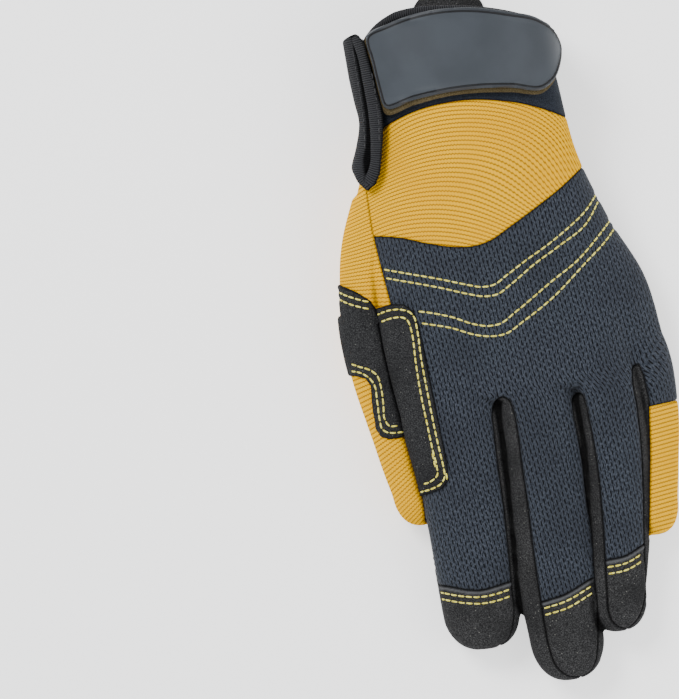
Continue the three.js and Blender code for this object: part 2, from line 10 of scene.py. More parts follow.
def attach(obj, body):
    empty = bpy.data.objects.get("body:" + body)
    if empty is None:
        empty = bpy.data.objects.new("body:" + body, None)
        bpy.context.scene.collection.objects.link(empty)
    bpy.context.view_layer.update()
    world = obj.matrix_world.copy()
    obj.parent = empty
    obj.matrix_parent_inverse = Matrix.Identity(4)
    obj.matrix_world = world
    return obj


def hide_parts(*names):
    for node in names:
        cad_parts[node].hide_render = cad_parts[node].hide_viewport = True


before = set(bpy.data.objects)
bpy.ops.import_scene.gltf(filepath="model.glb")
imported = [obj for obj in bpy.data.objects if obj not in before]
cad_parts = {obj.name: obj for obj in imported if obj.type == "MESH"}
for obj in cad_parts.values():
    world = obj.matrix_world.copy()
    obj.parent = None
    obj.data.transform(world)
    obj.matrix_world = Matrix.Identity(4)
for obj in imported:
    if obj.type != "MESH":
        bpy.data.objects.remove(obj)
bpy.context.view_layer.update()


# The floor, the lights and the camera. The glove lies palm down on a pale studio table and is seen
# from straight above through a long lens, turned a little, as a catalogue picture of it is taken.
MM = 0.001
PICTURE_HIGH = 699
MM_PER_PIXEL = 0.36
CAMERA_TURN = math.radians(-9.64)
CAMERA_OVER = (-0.0590, 0.0044)
CAMERA_UP = 4.0
SENSOR = 36.0

bpy.ops.object.select_all(action="DESELECT")
bpy.ops.mesh.primitive_plane_add(size=6.0, location=(0, 0, 0))
floor = bpy.context.object
floor.name = "floor"
floor_paint = bpy.data.materials.new("pale table")
floor_paint.use_nodes = True
floor_shader = floor_paint.node_tree.nodes["Principled BSDF"]
floor_shader.inputs["Base Color"].default_value = (0.86, 0.86, 0.86, 1)
floor_shader.inputs["Roughness"].default_value = 0.9
floor_shader.inputs["Emission Color"].default_value = (1, 1, 1, 1)
floor_shader.inputs["Emission Strength"].default_value = 1.1
floor.data.materials.append(floor_paint)

camera = bpy.data.objects.new("camera", bpy.data.cameras.new("camera"))
bpy.context.scene.collection.objects.link(camera)
camera.location = (*CAMERA_OVER, CAMERA_UP)
camera.rotation_euler = (0, 0, CAMERA_TURN)
camera.data.sensor_width = SENSOR
camera.data.lens = SENSOR * CAMERA_UP / (PICTURE_HIGH * MM_PER_PIXEL * MM)
camera.data.clip_end = 20
bpy.context.scene.camera = camera

LAMPS = {
    "key": {"at": (-0.55, 0.75, 1.05), "size": 0.55, "watts": 18},
    "fill": {"at": (0.9, -0.3, 0.9), "size": 0.9, "watts": 7},
    "back": {"at": (0.1, -1.0, 0.7), "size": 0.8, "watts": 5},
}
for lamp_name, lamp in LAMPS.items():
    light = bpy.data.objects.new(lamp_name, bpy.data.lights.new(lamp_name, "AREA"))
    bpy.context.scene.collection.objects.link(light)
    light.location = lamp["at"]
    light.rotation_euler = (-Vector(lamp["at"])).to_track_quat("-Z", "Y").to_euler()
    light.data.size = lamp["size"]
    light.data.energy = lamp["watts"]

world = bpy.data.worlds.new("studio")
world.use_nodes = True
world.node_tree.nodes["Background"].inputs["Color"].default_value = (0.95, 0.97, 1.0, 1)
world.node_tree.nodes["Background"].inputs["Strength"].default_value = 0.6
bpy.context.scene.world = world


# The glove's form: a hand and cuff, four fingers and a thumb, each lofted through sections across
# Y and joined into one skin. Every cloth panel is cut from it. Sizes are in millimetres on the
# glove's own axis, and CENTRE moves them to the frame.
CENTRE = np.array([-0.2, 12.8, 0.0])
FLOOR = 1.3
RING_STEP = 1.5
HAND_POWER = 2.3
HAND_SIDES = 120
HAND_END = -10
PAST_END_SHARE = 0.01
FINGER_POWER = 2.35
FINGER_SIDES = 80
FINGER_GAP = 0.3
TIP_POWER = 0.8
TIP_TURNS = np.radians(np.linspace(6, 89, 15))
DENT_EASE = 3.0
BULGE_POWER = 0.8
BULGE_LEAN = 0.0095
BULGE_REACH = (-20, 34)
VOXEL = 0.7
SMOOTHING = 16
HAND_COLUMNS = ("y", "left", "right", "top", "bottom", "drop_left", "drop_right", "bulge_top",
                "bulge_low")
HAND = [
    (112, -34.5, 33.5, 44.5, 2.4, 0, 0, 17.5, 12),
    (104, -34.0, 33.5, 44.0, 2.4, 0, 0, 8, 6),
    (96, -33.5, 34.0, 43.0, 2.4, 0, 0, 0, 0),
    (86, -36.5, 34.8, 41.5, 2.2, 0, 0, 0, 0),
    (75, -42.0, 36.0, 40.0, 1.3, 1, 1, 0, 0),
    (62, -46.5, 39.2, 38.0, 1.3, 2, 2, 0, 0),
    (50, -46.0, 43.0, 36.4, 1.3, 1, 3, 0, 0),
    (26, -43.4, 53.0, 33.4, 5.6, -1, 7, 0, 0),
    (2, -41.8, 56.2, 31.4, 10.6, 0, 10, 0, 0),
    (-8, -41.2, 56.6, 30.6, 11.6, 0, 11, 0, 0),
]
WEB_ROWS = [
    (-9.8, -40.0, 54.0, 29.0, 13.0, 0, 10, 0, 0),
    (-11, -38.0, 50.0, 26.5, 15.0, 0, 9, 0, 0),
]
STATION_COLUMNS = ("y", "x", "z", "wide", "high", "roll")
FINGERS = {
    "index": {"tip": 13.8, "stations": [
        (14, -24.5, 21.0, 15.5, 9.8, -3), (-12, -23.7, 20.3, 17.2, 9.6, -3),
        (-32, -23.2, 18.4, 16.2, 9.4, -3), (-70, -23.8, 13.0, 14.7, 8.9, -3),
        (-84, -24.6, 10.4, 13.8, 8.6, -3)]},
    "middle": {"tip": 15.6, "stations": [
        (14, 7.5, 21.5, 14.0, 9.8, 6), (-12, 7.2, 21.0, 14.0, 9.6, 8), (-28, 7.3, 19.9, 14.5, 9.5, 10),
        (-60, 5.9, 16.2, 15.1, 9.2, 10), (-80, 4.4, 13.3, 14.8, 9.0, 9), (-98, 4.0, 10.4, 13.4, 8.7, 8)]},
    "ring": {"tip": 13.5, "stations": [
        (14, 31.0, 20.0, 13.0, 9.3, 18), (-12, 33.1, 19.2, 12.4, 9.0, 22), (-30, 33.0, 17.8, 12.3, 8.8, 24),
        (-68, 27.5, 13.2, 12.0, 8.5, 23), (-86, 24.0, 10.6, 11.2, 8.3, 20)]},
    "pinky": {"tip": 11.4, "stations": [
        (14, 45.4, 11.5, 8.5, 6.2, 36), (-5, 47.6, 12.6, 10.2, 8.8, 38), (-22, 48.2, 10.6, 9.4, 8.2, 38),
        (-56, 42.8, 9.0, 8.7, 7.7, 32)]},
    "thumb": {"tip": 12.0, "stations": [
        (70, -33.0, 18.0, 12.5, 13.0, 0), (55, -37.6, 15.0, 14.4, 13.0, 4), (40, -40.6, 12.6, 14.6, 11.4, 12),
        (25, -43.4, 11.2, 14.2, 10.2, 18), (8, -44.0, 10.5, 12.8, 9.7, 20), (-10, -42.4, 10.2, 12.0, 9.5, 20),
        (-38, -39.4, 9.6, 9.6, 8.7, 16)]},
}


def eased(at, known, values):
    """Values between the rows of a table, along a smooth curve through them."""
    order = np.argsort(known)
    known = np.asarray(known, float)[order]
    values = np.asarray(values, float)[order]
    slope = np.gradient(values, known)
    at = np.clip(np.asarray(at, float), known[0], known[-1])
    i = np.clip(np.searchsorted(known, at) - 1, 0, len(known) - 2)
    step = known[i + 1] - known[i]
    t = (at - known[i]) / step
    rise = values[i + 1] - values[i]
    cubic = slope[i] * step * t * (1 - t) ** 2 - slope[i + 1] * step * t * t * (1 - t)
    return values[i] + rise * t * t * (3 - 2 * t) + cubic


def ramp(values, start, end):
    """0 before start and 1 after end, with a soft turn between them."""
    t = np.clip((np.asarray(values, float) - start) / (end - start), 0, 1)
    return t * t * (3 - 2 * t)


def rounded_radius(across, up, power):
    """How far points lie from the middle of a rounded square, which is 1 on its side."""
    return (abs(across) ** power + abs(up) ** power) ** (1 / power)


def section_at(rows, columns, y):
    """A section at places along Y, as a dictionary of its table's columns after the first."""
    known = [row[0] for row in rows]
    return {name: eased(y, known, [row[c] for row in rows]) for c, name in enumerate(columns) if c}


def hand_at(y):
    """The hand's section at places along Y, with its middle and its half sizes."""
    found = section_at(HAND, HAND_COLUMNS, y)
    found["middle_x"] = (found["left"] + found["right"]) / 2
    found["middle_z"] = (found["top"] + found["bottom"]) / 2
    found["wide"] = (found["right"] - found["left"]) / 2
    found["high"] = (found["top"] - found["bottom"]) / 2
    return found


def finger_at(name, y):
    """A finger's section at places along Y, which is held past its first and last stations."""
    return section_at(FINGERS[name]["stations"], STATION_COLUMNS, y)


def in_hand(points):
    """Points as shares across and up the hand's section, and their rounded distance, 1 on its skin."""
    s = hand_at(points[:, 1])
    across = (points[:, 0] - s["middle_x"]) / s["wide"]
    drop = np.where(across > 0, s["drop_right"], s["drop_left"]) * across**2
    up = (points[:, 2] - s["middle_z"] + drop) / s["high"]
    far = rounded_radius(across, up, HAND_POWER)
    return across, up, far, s


def in_finger(name, points):
    """Points as millimetres across and up a finger's section, and their rounded distance."""
    s = finger_at(name, points[:, 1])
    roll = np.radians(s["roll"])
    x = points[:, 0] - s["x"]
    z = points[:, 2] - s["z"]
    across = x * np.cos(roll) - z * np.sin(roll)
    up = x * np.sin(roll) + z * np.cos(roll)
    far = rounded_radius(across / s["wide"], up / s["high"], FINGER_POWER)
    return across, up, far, s


def from_finger(name, across, up, y):
    """Back from a finger's section to points."""
    s = finger_at(name, y)
    roll = np.radians(s["roll"])
    x = s["x"] + across * np.cos(roll) + up * np.sin(roll)
    z = s["z"] - across * np.sin(roll) + up * np.cos(roll)
    return np.stack([x, y, z], 1)


def rounded(value, power):
    """A sine or cosine, bent so that a circle turns into a rounded square."""
    return np.sign(value) * abs(value) ** (2 / power)


def hem_bulge(x, up, top, low):
    """How far the hem stands out to the arm, more on the hand's back and on the thumb's side."""
    leaning_top = top * (1 - BULGE_LEAN * np.clip(x, *BULGE_REACH))
    return np.where(up > 0, leaning_top, low) * np.minimum(abs(up), 1) ** BULGE_POWER


def hand_ring(row, sides, grow=0.0):
    """One ring of the hand or cuff, from a row of the table."""
    s = dict(zip(HAND_COLUMNS, row))
    angle = np.arange(sides) / sides * 2 * np.pi
    across = rounded(np.cos(angle), HAND_POWER)
    up = rounded(np.sin(angle), HAND_POWER)
    drop = np.where(across > 0, s["drop_right"], s["drop_left"]) * across**2
    x = (s["right"] + s["left"]) / 2 + ((s["right"] - s["left"]) / 2 + grow) * across
    bulge = hem_bulge(x, up, s["bulge_top"], s["bulge_low"])
    z = (s["top"] + s["bottom"]) / 2 + ((s["top"] - s["bottom"]) / 2 + grow) * up - drop
    return np.stack([x, s["y"] + bulge, np.maximum(z, FLOOR - grow)], 1)


def rows_between(rows, step):
    """Rows about a step apart, along smooth curves from a table's first row to its last."""
    start, end = rows[0][0], rows[-1][0]
    ys = np.linspace(start, end, int(abs(start - end) / step) + 1)
    columns = section_at(rows, range(len(rows[0])), ys).values()
    return [tuple(row) for row in np.stack([ys, *columns], 1)]


def pushed_off(points, neighbour, gap):
    """Points that lie inside a neighbouring finger or the hand, moved out to its skin and a gap more."""
    if neighbour == "hand":
        across, up, far, s = in_hand(points)
        power = HAND_POWER
    else:
        across, up, far, s = in_finger(neighbour, points)
        across, up, power = across / s["wide"], up / s["high"], FINGER_POWER
    y = points[:, 1]
    if neighbour != "hand":
        last, tip = FINGERS[neighbour]["stations"][-1][0], FINGERS[neighbour]["tip"]
        beyond = np.clip((last - y) / tip, 0, 1)
        share = np.sqrt(np.maximum(1 - beyond**2, 1e-4)) ** TIP_POWER
    else:
        share = np.where(y < HAND_END, PAST_END_SHARE, 1.0)
    wide, high = s["wide"] * share + gap, s["high"] * share + gap
    a, b = across * s["wide"] / wide, up * s["high"] / high
    far = np.maximum(rounded_radius(a, b, power), 1e-6)
    a, b = a / np.minimum(far, 1) * wide, b / np.minimum(far, 1) * high
    if neighbour != "hand":
        return from_finger(neighbour, a, b, y)
    drop = np.where(a > 0, s["drop_right"], s["drop_left"]) * (a / s["wide"]) ** 2
    return np.stack([s["middle_x"] + a, y, s["middle_z"] + b - drop], 1)


def finger_rings(name, sides, neighbours, dent_from):
    """A finger's rings from its root to its domed tip, dented by its neighbours."""
    stations, tip = FINGERS[name]["stations"], FINGERS[name]["tip"]
    rows = rows_between(stations, RING_STEP)
    last = rows[-1]
    for turn in TIP_TURNS:
        share = math.cos(turn) ** TIP_POWER
        rows.append((last[0] - tip * math.sin(turn), *last[1:3], last[3] * share, last[4] * share, last[5]))
    angle = np.arange(sides) / sides * 2 * np.pi
    rings = []
    for y, x, z, wide, high, roll in rows:
        across = wide * rounded(np.cos(angle), FINGER_POWER)
        up = high * rounded(np.sin(angle), FINGER_POWER)
        turn = math.radians(roll)
        ring = np.stack([x + across * math.cos(turn) + up * math.sin(turn), np.full(sides, y),
                         z - across * math.sin(turn) + up * math.cos(turn)], 1)
        if y < dent_from:
            gap = FINGER_GAP * float(ramp(dent_from - y, 0, DENT_EASE))
            for neighbour in neighbours:
                ring = pushed_off(ring, neighbour, gap)
        ring[:, 2] = np.maximum(ring[:, 2], FLOOR)
        rings.append(ring)
    return rings


def add_mesh(name, points, faces):
    """A mesh object from points in millimetres on the glove's axis."""
    mesh = bpy.data.meshes.new(name)
    mesh.from_pydata(((points - CENTRE) * MM).tolist(), [], [list(map(int, f)) for f in faces])
    mesh.validate()
    mesh.update()
    piece = bpy.data.objects.new(name, mesh)
    bpy.context.scene.collection.objects.link(piece)
    return piece


def ring_faces(count, sides, closed=False):
    """The faces between rings of points, and from the last ring to the first where closed."""
    ring = np.arange(count if closed else count - 1)[:, None]
    after = (ring + 1) % count
    near = np.arange(sides)[None, :]
    far = (near + 1) % sides
    corners = [ring * sides + near, ring * sides + far, after * sides + far, after * sides + near]
    return np.stack(corners, 2).reshape(-1, 4)


def loft(name, rings):
    """A closed tube through rings that turn from +X through +Z and follow each other towards -Y."""
    sides = len(rings[0])
    points = np.concatenate([*rings, rings[0].mean(0)[None], rings[-1].mean(0)[None]])
    faces = ring_faces(len(rings), sides).tolist()
    first, last = len(points) - 2, len(points) - 1
    end = (len(rings) - 1) * sides
    faces += [[first, (k + 1) % sides, k] for k in range(sides)]
    faces += [[last, end + k, end + (k + 1) % sides] for k in range(sides)]
    return add_mesh(name, points, faces)


def apply_all(piece):
    """Applies every modifier of a piece, in their order."""
    bpy.ops.object.select_all(action="DESELECT")
    bpy.context.view_layer.objects.active = piece
    piece.select_set(True)
    for modifier in list(piece.modifiers):
        bpy.ops.object.modifier_apply(modifier=modifier.name)
    piece.select_set(False)


hand_rows = rows_between(HAND, RING_STEP) + WEB_ROWS
lofts = [loft("form", [hand_ring(row, HAND_SIDES) for row in hand_rows])]
DENTS = {"index": ((), 0), "middle": (("index",), -30), "ring": (("middle",), -8), "pinky": (("ring",), -6),
         "thumb": (("hand", "index"), 24)}
for finger, (neighbours, dent_from) in DENTS.items():
    lofts.append(loft("form_" + finger, finger_rings(finger, FINGER_SIDES, neighbours, dent_from)))
bpy.ops.object.select_all(action="DESELECT")
for piece in lofts:
    piece.select_set(True)
bpy.context.view_layer.objects.active = lofts[0]
bpy.ops.object.join()
form = bpy.context.object
form.modifiers.new("one skin", "REMESH").mode = "VOXEL"
form.modifiers["one skin"].voxel_size = VOXEL * MM
softening = form.modifiers.new("softening", "SMOOTH")
softening.factor = 0.5
softening.iterations = SMOOTHING
apply_all(form)


def arrays_of(piece):
    """A mesh's points in millimetres on the glove's axis, its normals and its triangles."""
    mesh = piece.data
    mesh.calc_loop_triangles()
    points = np.zeros(len(mesh.vertices) * 3)
    mesh.vertices.foreach_get("co", points)
    normals = np.zeros(len(mesh.vertices) * 3, np.float32)
    mesh.vertex_normals.foreach_get("vector", normals)
    triangles = np.zeros(len(mesh.loop_triangles) * 3, np.int32)
    mesh.loop_triangles.foreach_get("vertices", triangles)
    return points.reshape(-1, 3) / MM + CENTRE, normals.reshape(-1, 3).astype(float), triangles.reshape(-1, 3)


form_points, form_normals, form_triangles = arrays_of(form)
bpy.data.objects.remove(form)

# Low wrinkles over the whole skin, and then folds pressed deeper where it is already hollow
WRINKLE_SIZE = 17.0
WRINKLE_HEIGHT = 0.35
wrinkles = np.array([noise.noise(Vector(p) / WRINKLE_SIZE) for p in form_points])
form_points = form_points + form_normals * (wrinkles * WRINKLE_HEIGHT)[:, None]
form_points[:, 2] = np.maximum(form_points[:, 2], FLOOR)
FOLD_DEPTH = 0.7
FOLD_LIMIT = 1.5
FOLD_ROUNDS = 24


def sides_of(triangles):
    """The two ends of each side of each triangle."""
    return np.concatenate([triangles[:, [0, 1]], triangles[:, [1, 2]], triangles[:, [2, 0]]])


def averaged(values, triangles, rounds):
    """Three values at each point of a skin, averaged with the neighbours' some times."""
    ends = sides_of(triangles)
    count = np.bincount(ends.ravel(), minlength=len(values))
    for _ in range(rounds):
        totals = [np.bincount(ends[:, 0], values[ends[:, 1], k], len(values)) +
                  np.bincount(ends[:, 1], values[ends[:, 0], k], len(values)) for k in range(3)]
        values = np.stack(totals, 1) / count[:, None]
    return values


# Millimetres that the skin rises where it is smoothed, which is more than 0 in its folds
form_hollow = ((averaged(form_points, form_triangles, FOLD_ROUNDS) - form_points) * form_normals).sum(1)
form_points = form_points - form_normals * (np.clip(form_hollow, 0, FOLD_LIMIT) * FOLD_DEPTH)[:, None]
form_traits = np.concatenate([form_normals, form_hollow[:, None]], 1)


# The seams that divide the skin, seen from above. A field is the distance in millimetres inside a
# panel, so a panel is the skin where its field is above 0, and neighbours meet at one seam.
CUFF_SEAM = [(-60, 83), (-40, 88), (-30, 93), (-18, 96.5), (-5, 97.5), (10, 95.5), (24, 91), (34, 86),
             (60, 70)]
YOKE_SEAM = [(-60, 57), (-40.3, 54.9), (-31, 52.7), (-21.8, 49.1), (-12.4, 46.3), (-6, 45.5),
             (0.7, 46.6), (7.8, 50), (18.3, 55.3), (29.2, 61.3), (38, 67.3), (60, 82)]
THUMB_SEAM_BACK = [(-40.2, 120), (-40.4, 72), (-40.6, 54.6), (-39.6, 40), (-38.6, 29), (-38.6, 10)]
THUMB_SEAM_PALM = [(-15, 100), (-18, 94), (-25.3, 76.5), (-30.6, 60.2), (-35, 44.6), (-39, 30),
                   (-40, 20)]
CAP_LINES = {
    "index": [(-60, -71), (-38.5, -72.2), (-24.7, -76.2), (-12.2, -75.1), (20, -72)],
    "middle": [(-30, -86), (-3, -84.1), (5.4, -82.9), (16.9, -78.6), (40, -72)],
    "ring": [(0, -75), (22.3, -73.2), (29.4, -72.9), (36.8, -70.1), (60, -66)],
    "pinky": [(20, -23.2), (46.6, -21.6), (57.1, -21.1), (80, -20.5)],
}
GAP_EDGES = {
    "index_middle": [(-20, -125), (-20, -97.2), (-17, -95.6), (-14.8, -92), (-13.3, -87.5), (-12.3, -76),
                     (-11.3, -62), (-10.4, -46), (-10, -32), (-9.4, -21), (-8.8, -14), (-7.6, -11),
                     (-5.2, -9.4), (-2.6, -10.8), (-1.8, -14), (-1.5, -22.5), (-1.9, -33.6),
                     (-2.2, -48.4), (-2.9, -65), (-3.2, -80), (-3.4, -92.9), (-3, -101.9),
                     (-1.5, -108.2), (2.2, -112.3), (6.5, -113.4), (6.5, -125)],
    "middle_ring": [(6.5, -125), (6.5, -113.4), (10.4, -111.8), (12.9, -108.4), (14, -105),
                    (15.2, -99.8), (16.2, -91), (17, -78.2), (18.5, -63), (19.2, -48.3), (19.9, -37.3),
                    (19.9, -26.1), (19.8, -17.1), (20.4, -13.6), (22, -12.4), (23.6, -13.4), (24.1, -16),
                    (24.5, -23.2), (24.7, -32.9), (24.6, -41.8), (23.9, -52.9), (23, -63.9), (22, -72.7),
                    (20.6, -85.8), (20.1, -92.4), (21, -95.7), (23.4, -98.2), (25.5, -98.9),
                    (25.5, -125)],
    "ring_pinky": [(25.5, -125), (26, -99), (27.4, -98.2), (30.4, -95.9), (33, -91.7), (35, -85.3),
                   (36.6, -73.6), (37.5, -66.4), (39.7, -51.8), (41.5, -37.2), (42.5, -22.5),
                   (42.9, -9.1), (43.6, -6.2), (45.2, -5.8), (46.3, -8.6), (46.9, -14.5), (47.1, -19.5),
                   (46.5, -24), (44.6, -37.6), (41.9, -53), (39.6, -66.6), (38, -90), (38, -125)],
}
BETWEEN_FINGERS = {
    "index_middle": [(-7, 60), (-7, 10), (-5.2, -11.4), (-6.5, -29), (-8.1, -44), (-9.4, -58),
                     (-10.1, -73), (-10.6, -90), (-10.6, -125)],
    "middle_ring": [(21.6, 60), (21.6, -16), (22, -23), (22, -40), (21.3, -64), (20, -78), (18.8, -90),
                    (18, -125)],
    "ring_pinky": [(43.6, 60), (43.9, -7.8), (45.2, -15.5), (45, -25), (43, -38), (38.8, -66),
                   (37, -125)],
}
COLUMN_SIDES = {"index": (None, "index_middle"), "middle": ("index_middle", "middle_ring"),
                "ring": ("middle_ring", "ring_pinky"), "pinky": ("ring_pinky", None)}
OUTER_SEAM_LOW = 4.0
TO_FINGER = (-4.0, 9.0)
PAST_WEB = (4.0, 9.0)
PAST_HAND = -10.5
INNER_TURN = (-0.3, 0.3)
OUTER_WRIST_ACROSS = (18, 32)
OUTER_WRIST_FROM = (12, 30)
OUTER_WRIST_TO = (74, 90)
FAR = 9.0
OPEN_SIDE = 99.0
WALL_SHARE = 0.4
THUMB_CROTCH = 24.0
THUMB_TOP = 29.0
THUMB_ZONE = (-52.0, 32.0)
THUMB_RADIUS = 12
THUMB_REACH = 1.6
THUMB_DOME_LEAST = 0.35
THUMB_SEAM_ACROSS = [(45, 7), (29, 6.2), (10, 3.6), (-10, 2), (-50, 1)]


def squared_distance(points, start, end):
    """Squared millimetres, seen from above, from points to a straight stretch."""
    px, py = points[:, 0] - start[0], points[:, 1] - start[1]
    ex, ey = end[0] - start[0], end[1] - start[1]
    t = np.clip((px * ex + py * ey) / max(ex * ex + ey * ey, 1e-9), 0, 1)
    return (px - t * ex) ** 2 + (py - t * ey) ** 2


def inside(points, outline):
    """Millimetres inside an outline seen from above, less than 0 outside it."""
    outline = np.asarray(outline, float)
    nearest = np.full(len(points), np.inf)
    within = np.zeros(len(points), bool)
    for start, end in zip(outline, np.roll(outline, -1, axis=0)):
        nearest = np.minimum(nearest, squared_distance(points, start, end))
        if start[1] != end[1]:
            low, high = sorted((start[1], end[1]))
            crosses = (points[:, 1] > low) & (points[:, 1] <= high)
            edge_x = (points[:, 1] - start[1]) * (end[0] - start[0]) / (end[1] - start[1])
            within ^= crosses & (points[:, 0] - start[0] < edge_x)
    return np.where(within, 1, -1) * np.sqrt(nearest)


def lengths_along(line):
    """Each point's distance from the first one, along the line."""
    return np.concatenate([[0], np.cumsum(np.linalg.norm(np.diff(line, axis=0), axis=1))])


def rounded_line(line, closed=False, step=1.0):
    """A smooth curve through a short list of points, as points about a step apart."""
    p = np.asarray(line, float)
    if closed:
        p = np.concatenate([p[-2:], p, p[:2]])
    lengths = lengths_along(p)
    start, end = (lengths[2], lengths[-2]) if closed else (0, lengths[-1])
    at = np.linspace(start, end, max(int((end - start) / step), 2) + 1)
    found = np.stack([eased(at, lengths, p[:, k]) for k in range(p.shape[1])], 1)
    return found[:-1] if closed else found


def past_line(points, line):
    """Millimetres beyond a line that runs along +X, towards -Y."""
    return eased(points[:, 0], *zip(*line)) - points[:, 1]


def left_of_line(points, line):
    """Millimetres to the -X side of a line that runs along Y."""
    across, along = zip(*line)
    return eased(points[:, 1], along, across) - points[:, 0]


def seam_fields(points):
    """The distances that every panel's field is made of."""
    found = {}
    y = points[:, 1]
    _, up, far_hand, s = in_hand(points)
    hand_up = up * s["high"]
    far_hand = np.where(y < PAST_HAND, FAR, far_hand)
    fingers = {name: in_finger(name, points) for name in FINGERS}
    names = ["index", "middle", "ring", "pinky"]
    fars = np.stack([fingers[name][2] for name in names])
    owner = fars.argmin(0)
    finger_up = np.choose(owner, [fingers[name][1] for name in names])
    finger_across = np.choose(owner, [fingers[name][0] / fingers[name][3]["wide"] for name in names])
    finger_high = np.choose(owner, [fingers[name][3]["high"] for name in names])
    to_finger = ramp(-y, *TO_FINGER)
    outer_wrist = ramp(points[:, 0], *OUTER_WRIST_ACROSS) * ramp(y, *OUTER_WRIST_FROM)
    outer_wrist *= 1 - ramp(y, *OUTER_WRIST_TO)
    found["up"] = (hand_up + OUTER_SEAM_LOW * outer_wrist) * (1 - to_finger) + finger_up * to_finger
    both_sides = np.ones(len(points))
    inner = np.choose(owner, [ramp(finger_across, *INNER_TURN), both_sides, both_sides,
                              ramp(-finger_across, *INNER_TURN)])
    past_web = ramp(-y, *PAST_WEB)
    found["above_wall"] = found["up"] + WALL_SHARE * finger_high * inner * past_web
    gaps = [inside(points, rounded_line(line)) for line in GAP_EDGES.values()]
    found["gaps"] = dict(zip(GAP_EDGES, gaps))
    found["any_gap"] = np.max(gaps, 0)
    found["own_up"] = hand_up * (1 - to_finger) + finger_up * to_finger
    found["cuff"] = -past_line(points, CUFF_SEAM)
    found["yoke"] = -past_line(points, YOKE_SEAM)
    found["owner"] = owner
    thumb_across, thumb_up, far_thumb, _ = fingers["thumb"]
    past_thumb = np.clip((FINGERS["thumb"]["stations"][-1][0] - y) / FINGERS["thumb"]["tip"], 0, 1)
    far_thumb = far_thumb / np.maximum(np.sqrt(1 - past_thumb**2), THUMB_DOME_LEAST) ** TIP_POWER
    rest = np.minimum(far_hand, fars[0])
    on_thumb = np.minimum((rest - far_thumb) * THUMB_RADIUS, (THUMB_REACH - far_thumb) * THUMB_RADIUS)
    nearer_thumb = np.where((y > THUMB_ZONE[0]) & (y < THUMB_ZONE[1]), on_thumb, -FAR)
    left_back = left_of_line(points, THUMB_SEAM_BACK)
    left_palm = left_of_line(points, THUMB_SEAM_PALM)
    outer_side = eased(y, *zip(*THUMB_SEAM_ACROSS)) - thumb_across
    high_side = np.maximum(np.minimum(left_back, y - THUMB_CROTCH), np.minimum(nearer_thumb, outer_side))
    low_side = np.maximum(np.minimum(left_palm, y - THUMB_TOP),
                          np.minimum.reduce([nearer_thumb, THUMB_TOP - y, outer_side]))
    found["thumb"] = np.where(found["up"] > 0, high_side, low_side)
    found["thumb_front"] = np.minimum.reduce([nearer_thumb, THUMB_TOP - y, -outer_side])
    found["thumb_up"] = thumb_up
    found["nearer_thumb"] = nearer_thumb
    return found


def in_column(points, name):
    """Millimetres inside the strip that holds one finger."""
    low, high = COLUMN_SIDES[name]
    right_of = -left_of_line(points, BETWEEN_FINGERS[low]) if low else OPEN_SIDE
    left_of = left_of_line(points, BETWEEN_FINGERS[high]) if high else OPEN_SIDE
    return np.minimum(right_of, left_of)


seams = seam_fields(form_points)
not_thumb = -np.maximum(seams["thumb"], seams["thumb_front"])
below_cuff = -seams["cuff"]
in_cap = {name: np.minimum(past_line(form_points, line), in_column(form_points, name))
          for name, line in CAP_LINES.items()}
PANELS = {
    "back_panel": np.minimum.reduce([seams["above_wall"], -seams["any_gap"], -seams["yoke"], not_thumb] +
                                    [-in_cap[name] for name in CAP_LINES]),
    "wrist_yoke": np.minimum.reduce([seams["up"], seams["yoke"], below_cuff, not_thumb]),
    "palm_panel": np.minimum.reduce([-seams["above_wall"], below_cuff, not_thumb]),
    "thumb_back": np.minimum(seams["thumb"], below_cuff),
    "thumb_front": seams["thumb_front"],
    "cuff": seams["cuff"],
}
for name in CAP_LINES:
    panel = "pinky_back" if name == "pinky" else name + "_cap"
    PANELS[panel] = np.minimum.reduce([seams["above_wall"], -seams["any_gap"], in_cap[name], not_thumb])
for gap, field in seams["gaps"].items():
    PANELS["side_wall_" + gap] = np.minimum(seams["above_wall"], field)

# The back: one piece of spacer mesh over the back of the hand and three fingers. It is a slate
# blue knit with rows of short open slots, and four rows of stitches run across it in two chevrons.
CHEVRONS = [
    [(-40.6, 43.4), (-32, 40.3), (-19.3, 35.8), (-9.7, 32.1), (-5.9, 30.8), (-1.2, 30.7), (4, 33.3),
     (10.1, 36.6), (21.6, 42.3), (28.5, 46.3), (35.7, 51.3), (41.5, 57.5)],
    [(-40.4, 40.2), (-32.5, 37.4), (-19.8, 32.8), (-10.2, 28.9), (-5.8, 27.4), (-0.4, 27.2), (4.7, 29.7),
     (14.1, 35.4), (24.4, 40.6), (34.8, 46.4), (42.4, 56)],
    [(-29.4, 26), (-24.5, 24.5), (-18.2, 22.1), (-10.1, 18), (-5.6, 16.6), (-1.5, 16.6), (5.2, 20),
     (19.2, 28.3), (30.3, 34.6), (39.1, 41.9), (46, 48.4)],
    [(-29, 21.6), (-18.8, 18.2), (-9.5, 13.9), (-4.2, 12.7), (-0.4, 12.7), (7.7, 16.4), (18.2, 22.2),
     (32.5, 32.9), (41.2, 39.6), (47, 45.4)],
]
chevron_rows = [rounded_line(row) for row in CHEVRONS]
MESH_PITCH = 1.45
SLOT_PITCH = 2.6
SLOT_LEAN = 0.095
SLOT_SIDE = (0.27, 0.12)
SLOT_END = (1.08, 0.63)
WAVER = (0.5, 0.8, 0.0)
FIBRE_LENGTHS = (2.6, 0.8, 1.0)
FIBRE_RELIEF = 0.45
BACK_FOLD_SHADE = 0.3
LITTLE_ROOT = (54, -5)
LITTLE_ROOT_REACH = 10.0
LITTLE_ROOT_ROUNDS = 100
CUT_MARGIN = 0.02
WALL = 1.5
SEAM_WIDTH = 1.5
SEAM_DEPTH = 0.75


